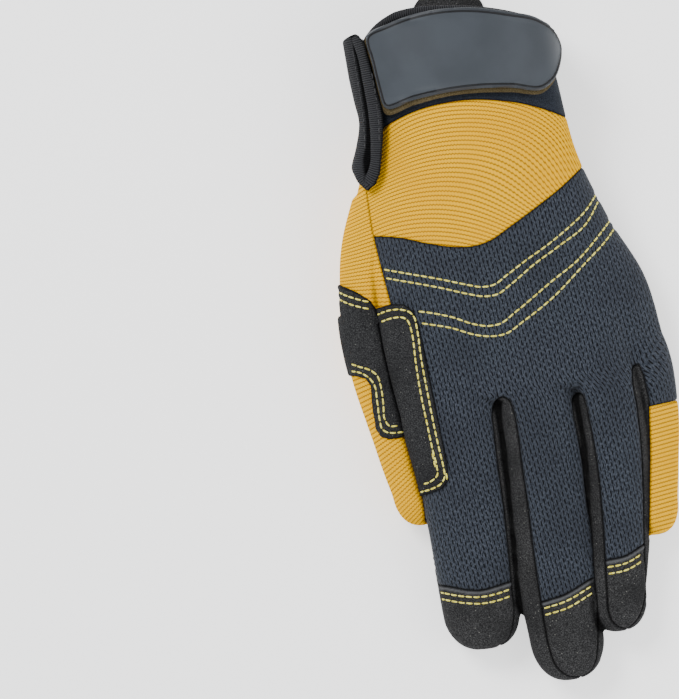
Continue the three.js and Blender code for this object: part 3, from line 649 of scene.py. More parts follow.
def clip(points, normals, triangles, field):
    """The part of a skin where a field is above 0, cut cleanly along its 0 line."""
    keep = field > 0
    inside_count = keep[triangles].sum(1)
    whole = triangles[inside_count == 3]
    cut = triangles[(inside_count == 1) | (inside_count == 2)]
    if len(cut):
        odd_is_in = keep[cut].sum(1) == 1
        odd = np.argmax(keep[cut] == odd_is_in[:, None], axis=1)
        rows = np.arange(len(cut))
        a, b, c = cut[rows, odd], cut[rows, (odd + 1) % 3], cut[rows, (odd + 2) % 3]
        edges = np.concatenate([np.stack([a, b], 1), np.stack([a, c], 1)])
        unique, where = np.unique(np.sort(edges, axis=1), axis=0, return_inverse=True)
        where = where.reshape(-1) + len(points)
        f0, f1 = field[unique[:, 0]], field[unique[:, 1]]
        t = np.clip(f0 / (f0 - f1), CUT_MARGIN, 1 - CUT_MARGIN)[:, None]
        points = np.concatenate([points, points[unique[:, 0]] * (1 - t) + points[unique[:, 1]] * t])
        normals = np.concatenate([normals, normals[unique[:, 0]] * (1 - t) + normals[unique[:, 1]] * t])
        ab, ac = where[:len(cut)], where[len(cut):]
        tips = np.stack([a, ab, ac], 1)[odd_is_in]
        rest = ~odd_is_in
        quads = np.concatenate([np.stack([ab, b, c], 1)[rest], np.stack([ab, c, ac], 1)[rest]])
        whole = np.concatenate([whole, tips, quads])
    used, index = np.unique(whole, return_inverse=True)
    normals = normals[used]
    normals[:, :3] /= np.linalg.norm(normals[:, :3], axis=1)[:, None]
    return points[used], normals, index.reshape(-1, 3)


def rim_distance(points, triangles, reach=6.0):
    """Each point's distance to the skin's open rim."""
    edges = np.sort(sides_of(triangles), axis=1)
    unique, count = np.unique(edges, axis=0, return_counts=True)
    rim = unique[count == 1]
    starts, ends = points[rim[:, 0]], points[rim[:, 1]]
    places = np.concatenate([starts, ends, (starts + ends) / 2])
    tree = KDTree(len(places))
    for k, place in enumerate(places):
        tree.insert(place, k)
    tree.balance()
    return np.array([min(tree.find(p)[2], reach) for p in points])


def main_skin(points, normals, triangles):
    """The largest connected part of a skin, without the crumbs that a cut can leave."""
    label = np.arange(len(points))
    while True:
        low = label[triangles].min(1)
        following = label.copy()
        for k in range(3):
            np.minimum.at(following, triangles[:, k], low)
        following = following[following]
        if (following == label).all():
            break
        label = following
    names, sizes = np.unique(label[triangles[:, 0]], return_counts=True)
    kept = triangles[label[triangles[:, 0]] == names[sizes.argmax()]]
    used, index = np.unique(kept, return_inverse=True)
    return points[used], normals[used], index.reshape(-1, 3)


def panel_skin(field):
    """A panel's share of the form, as points, normals, triangles and hollowness."""
    points, traits, triangles = main_skin(*clip(form_points, form_traits, form_triangles, field))
    return points, traits[:, :3], triangles, traits[:, 3]


def line_distance(points, lines):
    """Millimetres, seen from above, to the nearest of some lines."""
    nearest = np.full(len(points), np.inf)
    for line in lines:
        for start, end in zip(line[:-1], line[1:]):
            nearest = np.minimum(nearest, squared_distance(points, start, end))
    return np.sqrt(nearest)


def sink_rim(points, normals, triangles, width, depth):
    """Turns the rim of a skin down, as a sewn edge is, and returns the points and their distance to it."""
    distance = rim_distance(points, triangles)
    share = 1 - np.clip(distance / width, 0, 1)
    sink = depth * (1 - np.sqrt(np.maximum(1 - share**2, 0)))
    return points - normals * sink[:, None], distance


def sink_rows(points, normals, rows, width, depth):
    """Pulls a skin in along its rows of stitches."""
    dip = depth * np.exp(-((line_distance(points, rows) / width) ** 2))
    return points - normals * dip[:, None]


def give_values(piece, values):
    """Keeps values or vectors at a piece's points, for its finish to read."""
    for name, value in values.items():
        flat = np.asarray(value, np.float32)
        kind, key = ("FLOAT", "value") if flat.ndim == 1 else ("FLOAT_VECTOR", "vector")
        piece.data.attributes.new(name, kind, "POINT").data.foreach_set(key, flat.ravel())


def cloth_piece(name, points, triangles, thickness, values):
    """A closed piece from an outer skin, with its thickness inwards, and values at its points."""
    piece = add_mesh(name, points, triangles)
    give_values(piece, values)
    wall = piece.modifiers.new("thickness", "SOLIDIFY")
    wall.thickness = thickness * MM
    wall.offset = -1
    apply_all(piece)
    return piece


def dress(piece, paint, node, crease=50):
    """Gives a piece its finish, its place on the glove and the solid that it stands for."""
    piece.data.materials.clear()
    piece.data.materials.append(paint)
    bpy.ops.object.select_all(action="DESELECT")
    piece.select_set(True)
    bpy.context.view_layer.objects.active = piece
    bpy.ops.object.shade_smooth_by_angle(angle=math.radians(crease))
    piece.select_set(False)
    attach(piece, "root")
    if node:
        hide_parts(node)


# Distances along the cloth round a section, so that a weave keeps its size where it turns down
SECTION_RATIOS = (0.15, 0.3, 0.45, 0.65, 1.0)
SECTION_STEPS = 181
SECTION_SIDE = (0.93, 1.0)
CLOTH_TO_FINGER = (4, 14)


def length_from_crown(across, up, high_share):
    """Lengths round a rounded section from its crown, in half widths, for shares across and up it."""
    turn = np.arctan2(abs(across), up)
    steps = np.linspace(0, np.pi, SECTION_STEPS)
    far = (abs(np.sin(steps)) ** HAND_POWER + abs(np.cos(steps)) ** HAND_POWER) ** (-1 / HAND_POWER)
    tables = []
    for ratio in SECTION_RATIOS:
        x, z = far * np.sin(steps), ratio * far * np.cos(steps)
        tables.append(np.interp(turn, steps, lengths_along(np.stack([x, z], 1))))
    place = np.interp(high_share, SECTION_RATIOS, np.arange(len(SECTION_RATIOS)))
    low = np.clip(place.astype(int), 0, len(SECTION_RATIOS) - 2)
    lower, upper = np.choose(low, tables[:-1]), np.choose(low, tables[1:])
    return lower + (upper - lower) * (place - low)


def round_finger(name, points):
    """Each point's place across the cloth of one finger or the thumb."""
    across, up, _, s = in_finger(name, points)
    length = length_from_crown(across / s["wide"], up / s["high"], s["high"] / s["wide"])
    return s["x"] + np.sign(across) * s["wide"] * length


def hand_cloth(points):
    """Each point's place on the cloth of the hand and fingers, across and along it."""
    across, up, _, s = in_hand(points)
    on_curve = np.sign(up) * np.maximum(1 - np.minimum(abs(across), 1) ** HAND_POWER, 0) ** (1 / HAND_POWER)
    up = on_curve + (up - on_curve) * ramp(abs(across), *SECTION_SIDE)
    length = length_from_crown(across, up, s["high"] / s["wide"])
    over_hand = s["middle_x"] + np.sign(across) * s["wide"] * length
    owner = seam_fields(points)["owner"]
    over_finger = np.zeros(len(points))
    for k, name in enumerate(CAP_LINES):
        mine = owner == k
        if mine.any():
            over_finger[mine] = round_finger(name, points[mine])
    share = ramp(-points[:, 1], *CLOTH_TO_FINGER)
    over_both = over_hand * (1 - share) + over_finger * share
    return np.stack([over_both, points[:, 1], np.zeros(len(points))], 1)


def with_inputs(tree, made, inputs):
    """A node, once its inputs are set to values or linked to sockets."""
    for key, value in inputs.items():
        if isinstance(value, bpy.types.NodeSocket):
            tree.links.new(value, made.inputs[key])
        else:
            made.inputs[key].default_value = value
    return made


def node(tree, kind, settings=None, inputs=None):
    """One shader node, with its settings and with its inputs set to values or linked to sockets."""
    made = tree.nodes.new("ShaderNode" + kind)
    for key, value in (settings or {}).items():
        setattr(made, key, value)
    return with_inputs(tree, made, inputs or {})


def sums(tree, operation, *values):
    """The result of one step of arithmetic on sockets and numbers."""
    return node(tree, "Math", {"operation": operation}, dict(enumerate(values))).outputs[0]


def faded(tree, value, start, end, low=0.0, high=1.0):
    """A value turned softly from low at start to high at end."""
    settings = {"interpolation_type": "SMOOTHSTEP", "clamp": True}
    inputs = {"Value": value, "From Min": start, "From Max": end, "To Min": low, "To Max": high}
    return node(tree, "MapRange", settings, inputs).outputs[0]


def mixed(tree, share, first, second):
    """Two colours mixed by a share."""
    first, second = ((*colour, 1) if isinstance(colour, tuple) else colour for colour in (first, second))
    return node(tree, "Mix", {"data_type": "RGBA"}, {0: share, 6: first, 7: second}).outputs[2]


def noise_of(tree, vector, scale, detail, roughness=0.5):
    """Soft noise between 0 and 1."""
    inputs = {"Vector": vector, "Scale": scale, "Detail": detail, "Roughness": roughness}
    return node(tree, "TexNoise", None, inputs).outputs[0]


def own(tree, name, output="Fac"):
    """A value that the piece's own mesh carries at its points."""
    return node(tree, "Attribute", {"attribute_name": name}).outputs[output]


def new_paint(name, roughness, specular):
    """An empty finish, its tree, its shader and its surface places in millimetres."""
    paint = bpy.data.materials.new(name)
    paint.use_nodes = True
    tree = paint.node_tree
    shader = tree.nodes["Principled BSDF"]
    shader.inputs["Roughness"].default_value = roughness
    shader.inputs["Specular IOR Level"].default_value = specular
    places = node(tree, "TexCoord").outputs["Object"]
    scaled = node(tree, "Mapping", None, {"Vector": places, "Scale": (1000, 1000, 1000)}).outputs[0]
    return paint, tree, shader, scaled


def add_bump(tree, shader, height, distance, strength=1.0):
    """Puts a fine relief, of a depth in millimetres, on a shader."""
    made = node(tree, "Bump", None, {"Height": height, "Distance": distance * MM, "Strength": strength})
    tree.links.new(made.outputs[0], shader.inputs["Normal"])


def new_group(name, inputs, output_kind):
    """An empty group of nodes with named inputs and one output."""
    group = bpy.data.node_groups.new(name, "ShaderNodeTree")
    for input_name, value in inputs.items():
        kind = "NodeSocketColor" if isinstance(value, tuple) and len(value) == 4 else (
            "NodeSocketVector" if isinstance(value, tuple) else "NodeSocketFloat")
        socket = group.interface.new_socket(input_name, in_out="INPUT", socket_type=kind)
        socket.default_value = value
    group.interface.new_socket("Result", in_out="OUTPUT", socket_type=output_kind)
    start = group.nodes.new("NodeGroupInput").outputs
    end = group.nodes.new("NodeGroupOutput").inputs[0]
    return group, start, end


def use_group(tree, group, inputs):
    """The result of a group with its own values."""
    made = tree.nodes.new("ShaderNodeGroup")
    made.node_tree = group
    return with_inputs(tree, made, inputs).outputs[0]


# Painted shade: cloth is darker where it turns down into a seam and in the folds between the fingers
seam_and_fold_shade, at, out = new_group("sewn edge", {"Colour": (0.5, 0.5, 0.5, 1), "Edge": 5.0, "Width": 1.0,
                                             "Shade": 0.3, "Hollow": 0.0}, "NodeSocketColor")
edge_light = faded(seam_and_fold_shade, at["Edge"], 0.1, at["Width"], at["Shade"], 1.0)
fold_light = faded(seam_and_fold_shade, at["Hollow"], 0.1, 0.7, 1.0, 0.12)
both_light = sums(seam_and_fold_shade, "MULTIPLY", edge_light, fold_light)
edge_colour = node(seam_and_fold_shade, "VectorMath", {"operation": "SCALE"}, {0: at["Colour"], "Scale": both_light})
seam_and_fold_shade.links.new(edge_colour.outputs[0], out)


def sewn(tree, shader, colour, width, shade):
    """Gives a shader a colour, with painted shade at the piece's own edge and in its folds."""
    inputs = {"Colour": colour, "Edge": own(tree, "edge"), "Width": width, "Shade": shade,
              "Hollow": own(tree, "hollow")}
    tree.links.new(use_group(tree, seam_and_fold_shade, inputs), shader.inputs["Base Color"])


air_mesh, tree, shader, places = new_paint("air mesh", roughness=0.85, specular=0.12)
weave = own(tree, "cloth", "Vector")
waver = node(tree, "TexNoise", None, {"Vector": weave, "Scale": 0.35, "Detail": 1.0})
moved = node(tree, "VectorMath", {"operation": "MULTIPLY_ADD"},
             {0: waver.outputs["Color"], 1: WAVER, 2: weave}).outputs[0]
split = node(tree, "SeparateXYZ", None, {0: moved}).outputs
leaning = sums(tree, "ADD", split[0], sums(tree, "MULTIPLY", split[1], SLOT_LEAN))
column = sums(tree, "DIVIDE", leaning, MESH_PITCH)
from_column = sums(tree, "ABSOLUTE", sums(tree, "SUBTRACT", sums(tree, "FRACT", column), 0.5))
stagger = sums(tree, "MULTIPLY", sums(tree, "FLOOR", column), 0.5)
row = sums(tree, "ADD", sums(tree, "DIVIDE", split[1], SLOT_PITCH), stagger)
from_row = sums(tree, "ABSOLUTE", sums(tree, "SUBTRACT", sums(tree, "FRACT", row), 0.5))
slot_across = faded(tree, sums(tree, "MULTIPLY", from_column, MESH_PITCH), *SLOT_SIDE)
slot_along = faded(tree, sums(tree, "MULTIPLY", from_row, SLOT_PITCH), *SLOT_END)
slots = sums(tree, "MULTIPLY", slot_across, slot_along)
drawn_out = node(tree, "VectorMath", {"operation": "MULTIPLY"}, {0: weave, 1: FIBRE_LENGTHS}).outputs[0]
fibres = noise_of(tree, drawn_out, scale=1.0, detail=3.0, roughness=0.7)
broad = noise_of(tree, places, scale=0.05, detail=2.0)
yarn = mixed(tree, faded(tree, fibres, 0.32, 0.68), (0.007, 0.009, 0.014), (0.062, 0.073, 0.093))
shaded = mixed(tree, faded(tree, broad, 0.35, 0.7, 0.0, 0.4), yarn, (0.02, 0.023, 0.031))
slotted = mixed(tree, slots, shaded, (0.002, 0.0025, 0.004))
sewn(tree, shader, slotted, width=0.8, shade=0.3)
relief = sums(tree, "SUBTRACT", sums(tree, "MULTIPLY", fibres, FIBRE_RELIEF), slots)
add_bump(tree, shader, relief, distance=0.3)
shader.inputs["Sheen Weight"].default_value = 0.05

# The outer skins that rows of stitches are laid on, by the nodes of their pieces
skins = {}
points, normals, triangles, hollow = panel_skin(PANELS["back_panel"])
shaped, rim = sink_rim(points, normals, triangles, SEAM_WIDTH, SEAM_DEPTH)
shaped = sink_rows(shaped, normals, chevron_rows, width=0.9, depth=0.4)
skins["back_panel"] = (shaped, triangles)
cloth = hand_cloth(shaped)

# The weave's places are evened out at the little finger's root, where they would crowd
at_root = np.exp(-((shaped[:, :2] - LITTLE_ROOT) ** 2).sum(1) / LITTLE_ROOT_REACH**2)
cloth += (averaged(cloth, triangles, LITTLE_ROOT_ROUNDS) - cloth) * at_root[:, None]
values = {"edge": rim, "hollow": hollow * BACK_FOLD_SHADE, "cloth": cloth}
piece = cloth_piece("back_mesh", shaped, triangles, WALL, values)
dress(piece, air_mesh, "back_panel")


# The yellow pieces: the yoke over the wrist, the outside of the thumb and the back of the little
# finger. They are a ribbed stretch knit, whose ribs run across the hand and round the fingers.
RIB_PITCH = 1.5
RIB_SHARE = 0.66
KNIT_COLUMN = 1.15
ARCH_PEAK = [(90, -10), (84, -12), (56, -29), (40, -32)]
ARCH_LEFT = 0.011
ARCH_RIGHT = 0.0081
THUMB_RIB_SLOPE = [(90, 0.35), (66, 0.38), (46, 0.06), (36, -0.12), (5, 0.18), (-25, 0.5), (-50, 0.75)]
PINKY_RIB_SLOPE = 0.1
KNIT_SEAM_DEPTH = 0.5


def finger_cloth(name, points):
    """Each point's place on the cloth of one finger or the thumb, across and along it."""
    return np.stack([round_finger(name, points), points[:, 1], np.zeros(len(points))], 1)


# Ribs: rounded ridges with narrow valleys between them
ribs, at, out = new_group("ribs", {"Along": 0.0, "Pitch": 1.5}, "NodeSocketFloat")
rib_turn = sums(ribs, "MULTIPLY", sums(ribs, "DIVIDE", at["Along"], at["Pitch"]), math.pi)
ribs.links.new(sums(ribs, "ABSOLUTE", sums(ribs, "SINE", rib_turn)), out)

yellow_knit, tree, shader, places = new_paint("yellow knit", roughness=0.9, specular=0.0)
rib_at = own(tree, "rib")
weave = own(tree, "cloth", "Vector")
across_knit = node(tree, "SeparateXYZ", None, {0: weave}).outputs[0]
ridge = use_group(tree, ribs, {"Along": rib_at, "Pitch": RIB_PITCH})
half_turn = sums(tree, "MULTIPLY", sums(tree, "FLOOR", sums(tree, "DIVIDE", rib_at, RIB_PITCH)), math.pi)
turn_across = sums(tree, "MULTIPLY", across_knit, 2 * math.pi / KNIT_COLUMN)
loops = sums(tree, "SINE", sums(tree, "ADD", turn_across, half_turn))
loops = sums(tree, "ADD", sums(tree, "MULTIPLY", loops, 0.5), 0.5)
knit_height = sums(tree, "ADD", sums(tree, "MULTIPLY", ridge, RIB_SHARE),
                   sums(tree, "MULTIPLY", loops, 1 - RIB_SHARE))
tint = noise_of(tree, places, scale=0.06, detail=2.0)
# The ribs and loops are the knit's own relief; its darker low places, in the valleys between them, are
# painted shade
yellow = mixed(tree, faded(tree, knit_height, 0.12, 0.72), (0.3, 0.1, 0.0), (0.9, 0.48, 0.0))
yellow = mixed(tree, faded(tree, tint, 0.35, 0.7, 0.0, 0.25), yellow, (0.68, 0.3, 0.0))
sewn(tree, shader, yellow, width=0.7, shade=0.55)
add_bump(tree, shader, knit_height, distance=0.3, strength=0.8)

for node_name, kind in (("wrist_yoke", "hand"), ("thumb_back", "thumb"), ("pinky_back", "pinky")):
    points, normals, triangles, hollow = panel_skin(PANELS[node_name])
    shaped, rim = sink_rim(points, normals, triangles, SEAM_WIDTH, KNIT_SEAM_DEPTH)
    if kind == "hand":
        cloth = hand_cloth(shaped)
        over = cloth[:, 0] - eased(shaped[:, 1], *zip(*ARCH_PEAK))
        rib = shaped[:, 1] + np.where(over > 0, ARCH_RIGHT, ARCH_LEFT) * over**2
    else:
        cloth = finger_cloth(kind, shaped)
        slope = PINKY_RIB_SLOPE if kind == "pinky" else eased(shaped[:, 1], *zip(*THUMB_RIB_SLOPE))
        rib = shaped[:, 1] - slope * (shaped[:, 0] - finger_at(kind, shaped[:, 1])["x"])
    values = {"edge": rim, "hollow": hollow, "cloth": cloth, "rib": rib}
    piece = cloth_piece(node_name + "_knit", shaped, triangles, WALL, values)
    dress(piece, yellow_knit, node_name)


# The suede pieces: the palm with the fronts of the fingers, the inner side of the thumb, three
# fingertip caps and the walls between the fingers, of a black microfibre suede flecked with lint.
CAP_ROWS = {
    "index": [[(-38.6, -74.6), (-30, -77.5), (-24.7, -78.6), (-18, -78.5), (-12.8, -77.6)],
              [(-38.6, -77), (-30, -79.9), (-24.7, -81), (-18, -80.9), (-12.8, -80)]],
    "middle": [[(-2.8, -86.5), (5.4, -85.3), (16.4, -81.2)], [(-2.8, -88.9), (5.4, -87.8), (16.2, -83.7)]],
    "ring": [[(22, -75.8), (29.4, -75.4), (36.2, -72.8)], [(22, -78.2), (29.4, -77.8), (36, -75.3)]],
}
cap_rows = [rounded_line(line) for rows in CAP_ROWS.values() for line in rows]
SUEDE_PER_MM = 2.4
FOLD_FROM = (0.2, 0.5)
FOLD_TO = (1.0, 1.6)
FOLD_RISE = 0.3

# Pale lint: small scattered flecks
lint, at, out = new_group("lint", {"Vector": (0.0, 0.0, 0.0), "Per mm": 0.8, "Amount": 0.1},
                          "NodeSocketFloat")
flecks = node(lint, "TexVoronoi", {"feature": "F1"}, {"Vector": at["Vector"], "Scale": at["Per mm"]})
fleck_number = node(lint, "SeparateColor", None, {0: flecks.outputs["Color"]}).outputs[0]
chosen = sums(lint, "LESS_THAN", fleck_number, at["Amount"])
lint.links.new(sums(lint, "MULTIPLY", chosen, faded(lint, flecks.outputs["Distance"], 0.22, 0.08)), out)


def suede_paint(name, dark, light, fleck):
    """Black suede, in one of its shades."""
    paint, tree, shader, places = new_paint(name, roughness=0.92, specular=0.08)
    nap = noise_of(tree, places, scale=SUEDE_PER_MM, detail=3.0, roughness=0.75)
    broad = noise_of(tree, places, scale=0.07, detail=3.0)
    colour = mixed(tree, faded(tree, nap, 0.38, 0.72), dark, light)
    colour = mixed(tree, faded(tree, broad, 0.35, 0.68, 0.0, 0.45), colour, dark)
    lint_share = use_group(tree, lint, {"Vector": places, "Per mm": 0.9, "Amount": 0.16})
    colour = mixed(tree, sums(tree, "MULTIPLY", lint_share, fleck), colour, (0.22, 0.22, 0.2))
    turned = own(tree, "turned edge")
    colour = mixed(tree, turned, colour, (0.085, 0.087, 0.092))
    sewn(tree, shader, colour, width=0.8, shade=0.3)
    add_bump(tree, shader, nap, distance=0.16, strength=0.8)
    return paint


suede = suede_paint("black suede", (0.011, 0.011, 0.0115), (0.077, 0.077, 0.078), 0.8)
SUEDE_NODES = ["palm_panel", "thumb_front", "index_cap", "middle_cap", "ring_cap",
               *("side_wall_" + gap for gap in GAP_EDGES)]
for node_name in SUEDE_NODES:
    points, normals, triangles, hollow = panel_skin(PANELS[node_name])
    shaped, rim = sink_rim(points, normals, triangles, SEAM_WIDTH, SEAM_DEPTH)
    values = {"edge": rim, "hollow": hollow}
    if node_name.endswith("_cap"):
        shaped = sink_rows(shaped, normals, cap_rows, width=0.8, depth=0.3)
        from_line = past_line(points, CAP_LINES[node_name.removesuffix("_cap")])
        turned_edge = ramp(from_line, *FOLD_FROM) * (1 - ramp(from_line, *FOLD_TO))
        shaped = shaped + normals * (FOLD_RISE * turned_edge)[:, None]
        values["turned edge"] = turned_edge
    skins[node_name] = (shaped, triangles)
    piece = cloth_piece(node_name + "_suede", shaped, triangles, WALL, values)
    dress(piece, suede, node_name)


# The raised patches: one over the knuckle of the index finger and one round the outside of the
# thumb, both of the black suede with double rows of stitches inside their edges, and the big palm
# patch, whose edge and two areas of foam, each inside a row of stitches, are seen from below.
INDEX_PATCH = [(-60, 29.4), (-44, 29.4), (-38.4, 30.1), (-33.9, 29.4), (-30.8, 26.6), (-29.6, 21),
               (-29.2, 8), (-28.6, -10), (-28, -30), (-28.6, -35.4), (-31.2, -38), (-38.6, -39.4),
               (-60, -39.4)]
THUMB_PATCH = [(-70, 44), (-57, 41.5), (-49.5, 36.4), (-45.4, 32.6), (-43.8, 29.4), (-42, 24), (-30, 22),
               (-30, -17.4), (-41.5, -17.6), (-46.5, -17.5), (-49.4, -16.2), (-50.7, -13), (-50.8, -4.5),
               (-50.2, 2.5), (-51.6, 5.4), (-55, 7), (-70, 9)]
PALM_PATCH = [(-31, -12.5), (-27, -11), (-21, -4), (-16.5, -3.4), (-8, -13.6), (-3, -16.2), (1.5, -15.6),
              (8, -6.2), (11.4, -5), (15, -7.4), (20, -13.4), (24, -14.4), (28, -12), (33, 1), (37, 4.6),
              (40.6, 2.6), (44.6, -4.6), (49, -7), (52.8, -5.6), (55, 4), (54.4, 14), (51.8, 24),
              (48.6, 30.6), (44.6, 35.4), (40.2, 39.6), (43.8, 43.8), (46, 48), (47, 54), (42, 75),
              (34, 81), (24, 84), (14, 81.5), (6, 76), (5.4, 58), (1.6, 54.4), (-7, 50.6), (-19.6, 38.4),
              (-26.4, 27), (-29.4, 12), (-31, -2)]
INDEX_PATCH_ROWS = [
    [(-43.6, 27.2), (-39.4, 28), (-36.7, 27.9), (-34.1, 27.2), (-32, 25.9), (-30.9, 23.8), (-30.7, 20.8),
     (-31, 8.1), (-30.8, -2.7), (-30.5, -14.6), (-30, -24.7), (-29.6, -31), (-29.8, -34.2),
     (-31.4, -36.2), (-35, -37.5), (-39.2, -38)],
    [(-43, 24.4), (-39.9, 25), (-37.2, 25.1), (-34.8, 24.6), (-33.4, 23.2), (-32.9, 20.7), (-33.1, 8),
     (-33.2, -4), (-32.8, -13.6), (-32.4, -23.6), (-31.9, -30.5), (-32.2, -33), (-34.2, -34.5),
     (-38.9, -35.6)],
    [(-32.7, -24.5), (-32.3, -32.4)],
    [(-29, -32.4), (-29.2, -37.4)],
]
THUMB_PATCH_ROWS = [
    [(-56.9, 38.3), (-54.1, 36.1), (-50.6, 34.2), (-47.1, 32.6), (-43.4, 31.6)],
    [(-57, 35.6), (-54.5, 33.6), (-50.5, 31.4), (-46, 29.7), (-43, 29.3)],
    [(-56.4, 8.9), (-53, 7.6), (-50.8, 5.8), (-49.2, 3.2), (-49, -3.5), (-49.2, -10.4), (-48.8, -13.6),
     (-47.2, -15), (-44, -15.6), (-40.8, -15.8)],
    [(-56, 11.4), (-53.2, 9.9), (-49.4, 7.9), (-47.4, 5.6), (-46.9, 2.4), (-47, -4.8), (-47.3, -10.6),
     (-46.2, -12.8), (-43.5, -13.2), (-41, -13.4)],
    [(-41.4, 2), (-41.2, -4.4), (-41.1, -11), (-41.2, -15.6)],
]
PAD_OUTLINES = [
    [(-24.6, 10), (-23.8, 7.4), (-20, 6), (-8, 5.4), (11, 6), (24, 8.6), (36, 14), (41.4, 19.4),
     (41.6, 24), (38.6, 26.4), (30, 23.4), (12, 15.6), (-2, 13.4), (-12, 13.6), (-21, 15), (-24, 13.6)],
    [(-2.4, 42.4), (-1, 41), (10, 41.2), (20, 43.2), (29, 47.2), (34.6, 53.4), (35.8, 60), (33.8, 66.2),
     (29, 70.6), (24, 71.6), (19.6, 69), (16.4, 62), (12.6, 54.2), (7.6, 50), (-1, 45.8)],
]
PATCH_HEIGHT = 1.3
PATCH_WALL = 1.1
PATCH_EDGE = 1.1
PATCH_SINK = 0.8
PATCH_LOWEST = 0.02
INDEX_PATCH_LOW = 0.6
THUMB_PATCH_LOW = 2
THUMB_PATCH_WRIST_LOW = 4
PALM_ROW_INSETS = (1.5, 3.9)
PAD_RISE = 1.5
PAD_TURN = 4.5
OVERLAY_FOLD_SHADE = 0.3
OVERLAY_LOW = 4.2
OVERLAY_LOWER = 3.4
OVERLAY_TURN = (36, 52)
NOTCH_TIP = np.array([40.2, 39.6])
NOTCH_REACH = 2.2
NOTCH_SHARPNESS = 0.65


def within(line, amount):
    """A closed outline moved inwards by some millimetres."""
    p = np.asarray(line, float)
    along = np.roll(p, -1, axis=0) - np.roll(p, 1, axis=0)
    side = np.stack([-along[:, 1], along[:, 0]], 1) / np.maximum(np.linalg.norm(along, axis=1), 1e-6)[:, None]
    turn = 1 if (p[:, 0] * np.roll(p[:, 1], -1) - p[:, 1] * np.roll(p[:, 0], -1)).sum() > 0 else -1
    return p + side * amount * turn


def closed_row(line):
    """A line with its first point put at its end too."""
    return np.concatenate([line, line[:1]])


def palm_row(amount):
    """A closed row inside the palm patch's edge, pointed where it turns round the notch."""
    row = within(palm_outline, amount)
    by_notch = np.linalg.norm(palm_outline - NOTCH_TIP, axis=1) < NOTCH_REACH
    first = by_notch.argmax()
    point = NOTCH_TIP - (amount / NOTCH_SHARPNESS, 0)
    return closed_row(np.concatenate([row[:first], [point], row[first:][~by_notch[first:]]]))


palm_outline = rounded_line(PALM_PATCH, closed=True)
palm_rows = [palm_row(inset) for inset in PALM_ROW_INSETS]
pads = [rounded_line(row, closed=True) for row in PAD_OUTLINES]
pad_rows = [closed_row(row) for row in pads]
patch_suede = suede_paint("patch suede", (0.009, 0.009, 0.01), (0.062, 0.063, 0.064), 0.7)
form_y = form_points[:, 1]
above_index_side = np.minimum(seams["up"] + INDEX_PATCH_LOW, -seams["nearer_thumb"])
above_thumb_side = np.where(form_y > THUMB_TOP, seams["up"] + THUMB_PATCH_WRIST_LOW,
                            seams["thumb_up"] + THUMB_PATCH_LOW)
by_thumb = np.where(form_y > THUMB_CROTCH, FAR, seams["nearer_thumb"])
below_side = -seams["own_up"] - OVERLAY_LOW - OVERLAY_LOWER * ramp(form_y, *OVERLAY_TURN)
PATCHES = {
    "index_patch": ([inside(form_points, INDEX_PATCH), above_index_side], INDEX_PATCH_ROWS),
    "thumb_patch": ([inside(form_points, THUMB_PATCH), above_thumb_side, by_thumb], THUMB_PATCH_ROWS),
    "palm_overlay": ([inside(form_points, palm_outline), below_side], palm_rows + pad_rows),
}
for node_name, (fields, rows) in PATCHES.items():
    points, normals, triangles, hollow = panel_skin(np.minimum.reduce(fields))
    height = np.full(len(points), PATCH_HEIGHT)
    if node_name == "palm_overlay":
        padding = np.max([inside(points, outline) for outline in pads], 0)
        height += PAD_RISE * np.sqrt(np.clip(padding / PAD_TURN, 0, 1))
    shaped, rim = sink_rim(points + normals * height[:, None], normals, triangles, PATCH_EDGE, PATCH_SINK)
    shaped = sink_rows(shaped, normals, [rounded_line(row) for row in rows], width=0.8, depth=0.4)
    shaped[:, 2] = np.maximum(shaped[:, 2], PATCH_LOWEST)
    skins[node_name] = (shaped, triangles)
    values = {"edge": rim, "hollow": np.clip(hollow, 0, OVERLAY_FOLD_SHADE)}
    piece = cloth_piece(node_name + "_suede", shaped, triangles, PATCH_WALL, values)
    dress(piece, patch_suede, node_name)


# The two fingertip patches of grained leather, on the underside of the index finger and the thumb,
# each with two rows of stitches across its upper edge. The grain is a fine regular pebble.
INDEX_TIP_LINE = [(-60, -61.8), (-41, -61.8), (-16.5, -60.6), (0, -60.4)]
THUMB_TIP_LINE = [(-60, -4), (-40, -6.6), (-34, -8.2), (-29, -12), (-10, -14)]
PEBBLE_PER_MM = 1.25
TIP_ROW_INSETS = (1.6, 3.9)
TIP_LOW = 3.0
INDEX_TIP_RIGHT = -10
INDEX_TIP_LOWER = 3
INDEX_TIP_TURN = (-4, 4)
THUMB_TIP_FROM = -5.0
THUMB_TIP_LOW = 1.0
THUMB_TIP_END = -48.4
THUMB_TIP_TUCK = 3.0
THUMB_TIP_TUCK_FROM = 42

grained_leather, tree, shader, places = new_paint("grained leather", roughness=0.55, specular=0.3)
pebbles = node(tree, "TexVoronoi", {"feature": "F1"},
               {"Vector": places, "Scale": PEBBLE_PER_MM, "Randomness": 0.9})
grain = faded(tree, pebbles.outputs["Distance"], 0.2, 0.5, 1.0, 0.0)
sewn(tree, shader, mixed(tree, grain, (0.012, 0.013, 0.014), (0.1, 0.105, 0.11)), width=0.8, shade=0.4)
add_bump(tree, shader, grain, distance=0.2)

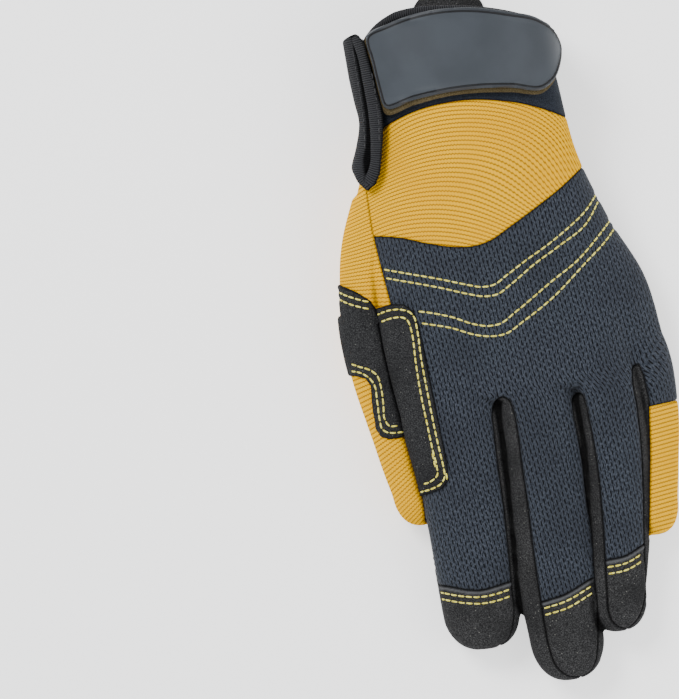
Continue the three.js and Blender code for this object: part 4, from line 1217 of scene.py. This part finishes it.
TIPS = {"index_tip_patch": ("index", INDEX_TIP_LINE), "thumb_tip_patch": ("thumb", THUMB_TIP_LINE)}
tip_rows = []
for node_name, (finger, line) in TIPS.items():
    finger_across, finger_up = in_finger(finger, form_points)[:2]
    if finger == "thumb":
        tucked_in = THUMB_TIP_TUCK * ramp(-form_y, THUMB_TIP_TUCK_FROM, -THUMB_TIP_END)
        limits = [seams["nearer_thumb"], finger_across - THUMB_TIP_FROM - tucked_in,
                  -finger_up - THUMB_TIP_LOW, form_y - THUMB_TIP_END]
    else:
        limits = [-seams["nearer_thumb"], INDEX_TIP_RIGHT - form_points[:, 0],
                  -finger_up - TIP_LOW - ramp(finger_across, *INDEX_TIP_TURN) * INDEX_TIP_LOWER]
    field = np.minimum.reduce([past_line(form_points, line), *limits])
    points, normals, triangles, hollow = panel_skin(field)
    shaped, rim = sink_rim(points + normals * PATCH_HEIGHT, normals, triangles, PATCH_EDGE, PATCH_SINK)
    rows = [[(x, y - inset) for x, y in line] for inset in TIP_ROW_INSETS]
    tip_rows += rows
    shaped = sink_rows(shaped, normals, [rounded_line(row) for row in rows], width=0.8, depth=0.35)
    shaped[:, 2] = np.maximum(shaped[:, 2], PATCH_LOWEST)
    skins[node_name] = (shaped, triangles)
    values = {"edge": rim, "hollow": np.zeros(len(points))}
    piece = cloth_piece(node_name + "_leather", shaped, triangles, PATCH_WALL, values)
    dress(piece, grained_leather, node_name)


# The cuff: a tube of smooth cloth-faced neoprene, open at the wrist, whose hem bulges towards the
# arm on the back of the hand. It is blue grey, with a fine even jersey face.
HEM_CUT = 0.4


def neoprene_paint(name, dark, light):
    """Cloth-faced neoprene, in one of its colours."""
    paint, tree, shader, places = new_paint(name, roughness=0.85, specular=0.1)
    jersey = noise_of(tree, places, scale=3.2, detail=2.0, roughness=0.7)
    broad = noise_of(tree, places, scale=0.05, detail=2.0)
    colour = mixed(tree, faded(tree, jersey, 0.35, 0.7), dark, light)
    colour = mixed(tree, faded(tree, broad, 0.35, 0.7, 0.0, 0.4), colour, dark)
    sewn(tree, shader, colour, width=0.8, shade=0.35)
    add_bump(tree, shader, jersey, distance=0.08, strength=0.7)
    return paint


neoprene = neoprene_paint("neoprene", (0.008, 0.01, 0.015), (0.034, 0.041, 0.054))
hem_row = dict(zip(HAND_COLUMNS, HAND[0]))
bulge = hem_bulge(form_points[:, 0], in_hand(form_points)[1], hem_row["bulge_top"], hem_row["bulge_low"])
before_hem = hem_row["y"] + bulge - HEM_CUT - form_y
points, normals, triangles, hollow = panel_skin(np.minimum(PANELS["cuff"], before_hem))
shaped, rim = sink_rim(points, normals, triangles, width=1.0, depth=0.4)
values = {"edge": rim, "hollow": hollow}
piece = cloth_piece("cuff_neoprene", shaped, triangles, WALL, values)
dress(piece, neoprene, "cuff")


# The binding round the hem: a ribbed tape folded over the cuff's open edge, with its fine ribs
# across it. The same tape edges the slit beside the strap.
HEM_SIDES = 240
HEM_TURNS = 14
HEM_RADIUS = 1.8
HEM_OUT = 0.2
HEM_LOWEST = 0.6
TAPE_PITCH = 0.78

ribbed_tape, tree, shader, places = new_paint("ribbed tape", roughness=0.85, specular=0.06)
tape_ridge = use_group(tree, ribs, {"Along": own(tree, "rib"), "Pitch": TAPE_PITCH})
fluff = noise_of(tree, places, scale=2.0, detail=2.0)
# The ribs are the tape's own relief; its darker valleys between them are painted shade
tape_colour = mixed(tree, faded(tree, tape_ridge, 0.1, 0.9), (0.004, 0.004, 0.0045), (0.034, 0.035, 0.038))
tape_colour = mixed(tree, faded(tree, fluff, 0.4, 0.75, 0.0, 0.5), tape_colour, (0.03, 0.03, 0.032))
sewn(tree, shader, tape_colour, width=0.6, shade=0.4)
add_bump(tree, shader, tape_ridge, distance=0.22)

hem = hand_ring(HAND[0], HEM_SIDES, -WALL / 2)
outward = hand_ring(HAND[0], HEM_SIDES, 1.0) - hem
outward[:, 1] = 0
outward /= np.linalg.norm(outward, axis=1)[:, None]
turns = np.arange(HEM_TURNS) / HEM_TURNS * 2 * np.pi
tube = hem[:, None] + outward[:, None] * (HEM_RADIUS * np.sin(turns))[None, :, None]
tube[:, :, 1] += HEM_RADIUS * np.cos(turns) + HEM_OUT
tube = tube.reshape(-1, 3)
tube[:, 2] = np.maximum(tube[:, 2], HEM_LOWEST)
hem_lengths = lengths_along(hem)
hem_lengths *= round(hem_lengths[-1] / TAPE_PITCH) * TAPE_PITCH / hem_lengths[-1]
piece = add_mesh("hem_tape", tube, ring_faces(HEM_SIDES, HEM_TURNS, closed=True))
give_values(piece, {"rib": np.repeat(hem_lengths, HEM_TURNS), "edge": np.full(len(tube), FAR)})
dress(piece, ribbed_tape, "cuff_binding", crease=80)


# The closing strap: a layer of olive brown neoprene, which lies across the back of the wrist and
# rounds off at its free end. Only its edge shows, because the plate covers the rest.
STRAP = [(-31.6, 125.6), (-24, 127.6), (-15, 129.3), (-5, 129.9), (7, 128.6), (20, 124.8), (29, 121.8),
         (34.6, 117.6), (36.6, 111.6), (35.4, 104), (32.6, 98.6), (28.6, 95.5), (16, 97.3), (5.1, 98.9),
         (-5.9, 99.5), (-18.4, 98.5), (-29.4, 97.2), (-30.6, 104), (-31.2, 114)]
STRAP_HEIGHT = 3.0
STRAP_WALL = 2.1
STRAP_UNSHADED = 1.0
WRIST_ROWS = 6
WRIST_SIDES = 300
WRIST_END = 125.0
WRIST_STEP = 0.8
WRIST_HALF_HIGH = 20


def wrist_sheet(height):
    """The skin over the wrist and past the hem, raised by a height, as points, normals and triangles."""
    rows = rows_between(HAND[:WRIST_ROWS], WRIST_STEP)
    beyond = [(y, *rows[0][1:]) for y in np.arange(WRIST_END, rows[0][0], -WRIST_STEP)]
    rings = np.array([hand_ring(row, WRIST_SIDES, height) for row in beyond + rows])
    count, sides = rings.shape[:2]
    sheet = add_mesh("sheet", rings.reshape(-1, 3), ring_faces(count, sides))
    found = arrays_of(sheet)
    bpy.data.objects.remove(sheet)
    return found


def over_wrist(outline, height, lowest=0.0):
    """The part of the raised wrist skin inside an outline, down to a share of the wrist's height."""
    points, normals, triangles = wrist_sheet(height)
    above = (in_hand(points)[1] - lowest) * WRIST_HALF_HIGH
    return main_skin(*clip(points, normals, triangles, np.minimum(inside(points, outline), above)))


brown_neoprene = neoprene_paint("olive brown neoprene", (0.04, 0.029, 0.012), (0.13, 0.1, 0.05))
points, normals, triangles = over_wrist(rounded_line(STRAP, closed=True), STRAP_HEIGHT)
shaped, rim = sink_rim(points, normals, triangles, width=1.0, depth=0.5)
values = {"edge": rim + STRAP_UNSHADED, "hollow": np.zeros(len(points))}
piece = cloth_piece("strap_neoprene", shaped, triangles, STRAP_WALL, values)
dress(piece, brown_neoprene, "strap")


# The plate on the strap: satin moulded rubber, blue grey, with a narrow raised rim and a thin black
# groove inside it.
PLATE = [(-31.3, 126.1), (-23.3, 128.6), (-15.2, 130.2), (-5, 130.7), (7.6, 129.3), (20.9, 125.6),
         (29.9, 122.4), (35.2, 118), (37.4, 111.6), (36.1, 104.6), (32.9, 99.2), (28.6, 96.6),
         (16.4, 98.9), (5.5, 100.4), (-5.6, 100.9), (-18.1, 100.3), (-29.2, 99.3), (-30.4, 106),
         (-31.1, 116)]
PLATE_HEIGHT = 4.6
PLATE_WALL = 1.4
GROOVE_AT = 1.4
GROOVE_SIDE = (0.4, 0.18)
FIELD_EDGE = (1.3, 1.5)
FIELD_LOW = 0.35
FIELD_TURN = (1.1, 1.9)
SATIN_RELIEF = 0.03

moulded_rubber, tree, shader, places = new_paint("moulded rubber", roughness=0.5, specular=0.35)
edge = own(tree, "edge")
from_groove = sums(tree, "ABSOLUTE", sums(tree, "SUBTRACT", edge, GROOVE_AT))
groove = faded(tree, from_groove, *GROOVE_SIDE)
in_field = faded(tree, edge, *FIELD_EDGE)
cloudy = noise_of(tree, places, scale=0.06, detail=3.0)
field_colour = mixed(tree, faded(tree, cloudy, 0.35, 0.65), (0.035, 0.042, 0.051), (0.042, 0.05, 0.06))
plate_colour = mixed(tree, in_field, (0.026, 0.03, 0.036), field_colour)
tree.links.new(mixed(tree, groove, plate_colour, (0.002, 0.002, 0.003)), shader.inputs["Base Color"])
satin = noise_of(tree, places, scale=1.4, detail=2.0)
plate_relief = sums(tree, "ADD", sums(tree, "MULTIPLY", satin, SATIN_RELIEF),
                    sums(tree, "MULTIPLY", groove, -1.0))
add_bump(tree, shader, plate_relief, distance=0.35)

points, normals, triangles = over_wrist(rounded_line(PLATE, closed=True), PLATE_HEIGHT)
distance = rim_distance(points, triangles)
lower = FIELD_LOW * ramp(distance, *FIELD_TURN)
shaped, rim = sink_rim(points - normals * lower[:, None], normals, triangles, width=1.0, depth=0.8)
piece = cloth_piece("plate_rubber", shaped, triangles, PLATE_WALL, {"edge": rim})
dress(piece, moulded_rubber, "strap_plate")


# The slit beside the strap, edged with a hairpin of the ribbed tape: two strands with a dark slot
# between them, which meet in a V over the thumb's root.
SLIT_OUTLINE = [(-60, 123.5), (-39.6, 124), (-38.4, 126), (-36, 127.3), (-33.4, 126.6), (-32, 124),
                (-31, 112), (-30, 99), (-30.3, 94), (-31.4, 88), (-33, 81), (-34.4, 76.6), (-36.6, 73.2),
                (-39.8, 71.2), (-42.3, 74.4), (-43.7, 79.5), (-42.3, 85.2), (-60, 86)]
SLIT_STRANDS = [
    [(-37.8, 125.5), (-37.6, 118), (-37.5, 106), (-37.8, 96), (-39.2, 88), (-41.2, 82), (-41.3, 77),
     (-39.6, 73.6)],
    [(-39.6, 73.6), (-37, 76), (-34.9, 80), (-33.6, 86), (-32.6, 93), (-32.2, 100), (-32.4, 110),
     (-32.6, 118), (-33.6, 125.2)],
]
SLIT_HEIGHT = 3.8
SLIT_WALL = 3.2
SLIT_LOWEST = -0.3
STRAND_RISE = 1.5
STRAND_HALF = 2.4
STRAND_FALL = 0.8
STRAND_FALL_TURN = (2.2, 3.2)
SLOT_SHADE = 0.9
SLOT_TURN = (1.7, 2.5)

points, normals, triangles = over_wrist(SLIT_OUTLINE, SLIT_HEIGHT, SLIT_LOWEST)
strands = [rounded_line(line) for line in SLIT_STRANDS]
distance = line_distance(points, strands)
rise = STRAND_RISE * np.sqrt(np.maximum(1 - (distance / STRAND_HALF) ** 2, 0))
rise -= STRAND_FALL * ramp(distance, *STRAND_FALL_TURN)
shaped, rim = sink_rim(points + normals * rise[:, None], normals, triangles, width=1.0, depth=0.8)
strand_points = np.concatenate(strands)
strand_lengths = lengths_along(strand_points)
nearest = ((points[:, None, :2] - strand_points[None]) ** 2).sum(2).argmin(1)
after = np.minimum(nearest + 1, len(strand_points) - 1)
way = strand_points[after] - strand_points[np.maximum(nearest - 1, 0)]
way /= np.maximum(np.linalg.norm(way, axis=1), 1e-6)[:, None]
along = strand_lengths[nearest] + ((points[:, :2] - strand_points[nearest]) * way).sum(1)
values = {"edge": rim, "hollow": SLOT_SHADE * ramp(distance, *SLOT_TURN), "rib": along}
skins["slit_binding"] = (shaped, triangles)
piece = cloth_piece("slit_tape", shaped, triangles, SLIT_WALL, values)
dress(piece, ribbed_tape, "slit_binding")


# The pull tab: a flat strip of the suede sewn to the palm side of the cuff, with a rounded end that
# stands out past the hem.
TAB_WIDE = 27.0
TAB_TOP = 93.0
TAB_BOTTOM = 139.0
TAB_MIDDLE = -0.7
TAB_LOW = 0.25
TAB_THICK = 1.35
TAB_ROUND = 11.0
TAB_EDGE = 0.4

tab_place = (np.array([TAB_MIDDLE, (TAB_TOP + TAB_BOTTOM) / 2, TAB_LOW + TAB_THICK / 2]) - CENTRE) * MM
bpy.ops.mesh.primitive_cube_add(size=1, location=tab_place.tolist())
tab = bpy.context.object
tab.name = "tab_suede"
tab.scale = (TAB_WIDE * MM, (TAB_BOTTOM - TAB_TOP) * MM, TAB_THICK * MM)
bpy.ops.object.transform_apply(location=True, rotation=True, scale=True)
end_edges = tab.data.attributes.new("bevel_weight_edge", "FLOAT", "EDGE")
for tab_edge in tab.data.edges:
    low, high = (tab.data.vertices[k].co for k in tab_edge.vertices)
    upright = abs(low.z - high.z) > 0.001
    end_edges.data[tab_edge.index].value = 1.0 if upright and low.y > tab_place[1] else 0.0
round_end = tab.modifiers.new("round end", "BEVEL")
round_end.limit_method = "WEIGHT"
round_end.width = TAB_ROUND * MM
round_end.segments = 14
soft_edge = tab.modifiers.new("soft edge", "BEVEL")
soft_edge.limit_method = "ANGLE"
soft_edge.angle_limit = math.radians(50)
soft_edge.width = TAB_EDGE * MM
soft_edge.segments = 3
apply_all(tab)
give_values(tab, {"edge": np.full(len(tab.data.vertices), FAR)})
dress(tab, suede, "pull_tab", crease=40)
tab_points, _, tab_triangles = arrays_of(tab)
skins["pull_tab"] = (tab_points, tab_triangles)


# The stitches: rows of short stitches in pale yellow thread on the back, the patches, the caps, the
# palm and the fingertip leather, and in black thread on the slit's tape and the pull tab.
STITCH_LONG = 2.3
STITCH_PITCH = 2.8
STITCH_START = 0.4
STITCH_BEND = 0.5
STITCH_SUNK = 0.1
STITCH_WIDE = 0.66
STITCH_HIGH = 0.5
STITCH_SIDES = 6
STITCH_RINGS = np.array([(0.0, 0.5), (0.14, 0.9), (0.5, 1.0), (0.86, 0.9), (1.0, 0.5)])
ROW_STEP = 0.35
CAST_FROM = 90.0
NORMAL_SPREAD = 7
SLIT_ROWS = [[(-36.6, 122), (-36.6, 113), (-36.6, 101), (-37.4, 91), (-38.6, 84)],
             [(-31.4, 120), (-31.4, 112), (-31.3, 102), (-31.8, 94), (-33, 86)]]
TAB_ROWS = [[(-12.2, 94.5), (-12.2, 119), (10.8, 119), (10.8, 94.5)]]


def laid_rows(names, lines, side):
    """Rows seen from above (1) or below (-1), laid on outer skins, as stretches of points and normals."""
    starts = np.cumsum([0] + [len(skins[name][0]) for name in names])
    corners = np.concatenate([skins[name][0] for name in names])
    faces = np.concatenate([skins[name][1] + start for name, start in zip(names, starts)])
    skin_tree = BVHTree.FromPolygons(corners.tolist(), faces.tolist())
    stretches = []
    for line in lines:
        p = np.asarray(line, float)
        lengths = lengths_along(p)
        at = np.arange(0, lengths[-1], ROW_STEP)
        stretch = []
        for x, y in zip(np.interp(at, lengths, p[:, 0]), np.interp(at, lengths, p[:, 1])):
            hit, normal, _, _ = skin_tree.ray_cast(Vector((x, y, side * CAST_FROM)), Vector((0, 0, -side)))
            if hit:
                stretch.append((*hit, *(normal if normal.z * side > 0 else -normal)))
            elif stretch:
                stretches.append(np.array(stretch))
                stretch = []
        stretches.append(np.array(stretch))
    return [stretch for stretch in stretches if len(stretch) > NORMAL_SPREAD]


def sewn_rows(name, stretches, paint):
    """Stitches along laid rows, as one piece."""
    ring_points = []
    for stretch in stretches:
        lengths = lengths_along(stretch[:, :3])
        spread = np.ones(NORMAL_SPREAD) / NORMAL_SPREAD
        padded = [np.pad(stretch[:, k], NORMAL_SPREAD // 2, "edge") for k in range(3, 6)]
        smooth = [np.convolve(column, spread, "valid") for column in padded]
        first = np.arange(STITCH_START, lengths[-1] - STITCH_LONG, STITCH_PITCH)
        at = first[:, None] + STITCH_RINGS[None, :, 0] * STITCH_LONG
        place = np.stack([np.interp(at, lengths, stretch[:, k]) for k in range(3)], 2)
        up = np.stack([np.interp(at, lengths, column) for column in smooth], 2)
        up /= np.linalg.norm(up, axis=2)[:, :, None]
        along = np.gradient(place, axis=1)
        across = np.cross(up, along)
        across /= np.linalg.norm(across, axis=2)[:, :, None]
        bend = STITCH_BEND * np.sin(STITCH_RINGS[:, 0] * np.pi)
        lift = STITCH_HIGH * (bend - STITCH_SUNK)
        middle = place + up * lift[None, :, None]
        turn = np.arange(STITCH_SIDES) / STITCH_SIDES * 2 * np.pi
        wide = np.cos(turn)[None, :] * STITCH_RINGS[:, 1:] * STITCH_WIDE / 2
        high = np.sin(turn)[None, :] * STITCH_RINGS[:, 1:] * STITCH_HIGH / 2
        ring_points.append(middle[:, :, None] + across[:, :, None] * wide[None, :, :, None]
                           + up[:, :, None] * high[None, :, :, None])
    points = np.concatenate(ring_points).reshape(-1, 3)
    points[:, 2] = np.maximum(points[:, 2], 0.0)
    size = len(STITCH_RINGS) * STITCH_SIDES
    near = np.arange(STITCH_SIDES)
    one_stitch = [*ring_faces(len(STITCH_RINGS), STITCH_SIDES), near[::-1], size - STITCH_SIDES + near]
    faces = [face + start for start in range(0, len(points), size) for face in one_stitch]
    dress(add_mesh(name, points, faces), paint, None, crease=70)


def thread_paint(name, dark, light):
    """Twisted sewing thread, in one of its colours."""
    paint, tree, shader, places = new_paint(name, roughness=0.6, specular=0.25)
    plies = noise_of(tree, places, scale=1.6, detail=2.0)
    tree.links.new(mixed(tree, faded(tree, plies, 0.35, 0.65), dark, light), shader.inputs["Base Color"])
    add_bump(tree, shader, plies, distance=0.1)
    return paint


yellow_thread = thread_paint("yellow thread", (0.6, 0.5, 0.05), (0.9, 0.84, 0.2))
black_thread = thread_paint("black thread", (0.008, 0.008, 0.009), (0.03, 0.03, 0.033))
rounded_rows = {"index_patch": [rounded_line(row) for row in INDEX_PATCH_ROWS],
                "thumb_patch": [rounded_line(row) for row in THUMB_PATCH_ROWS]}
sewn_rows("back_stitches", laid_rows(["back_panel"], chevron_rows, 1), yellow_thread)
sewn_rows("cap_stitches", laid_rows(["index_cap", "middle_cap", "ring_cap"], cap_rows, 1), yellow_thread)
for node_name, lines in rounded_rows.items():
    sewn_rows(node_name + "_stitches", laid_rows([node_name], lines, 1), yellow_thread)
sewn_rows("palm_stitches", laid_rows(["palm_overlay"], palm_rows + pad_rows, -1), yellow_thread)
sewn_rows("tip_stitches", laid_rows(["index_tip_patch", "thumb_tip_patch"], tip_rows, -1), yellow_thread)
sewn_rows("slit_stitches", laid_rows(["slit_binding"], SLIT_ROWS, 1), black_thread)
sewn_rows("tab_stitches", laid_rows(["pull_tab"], TAB_ROWS, -1), black_thread)
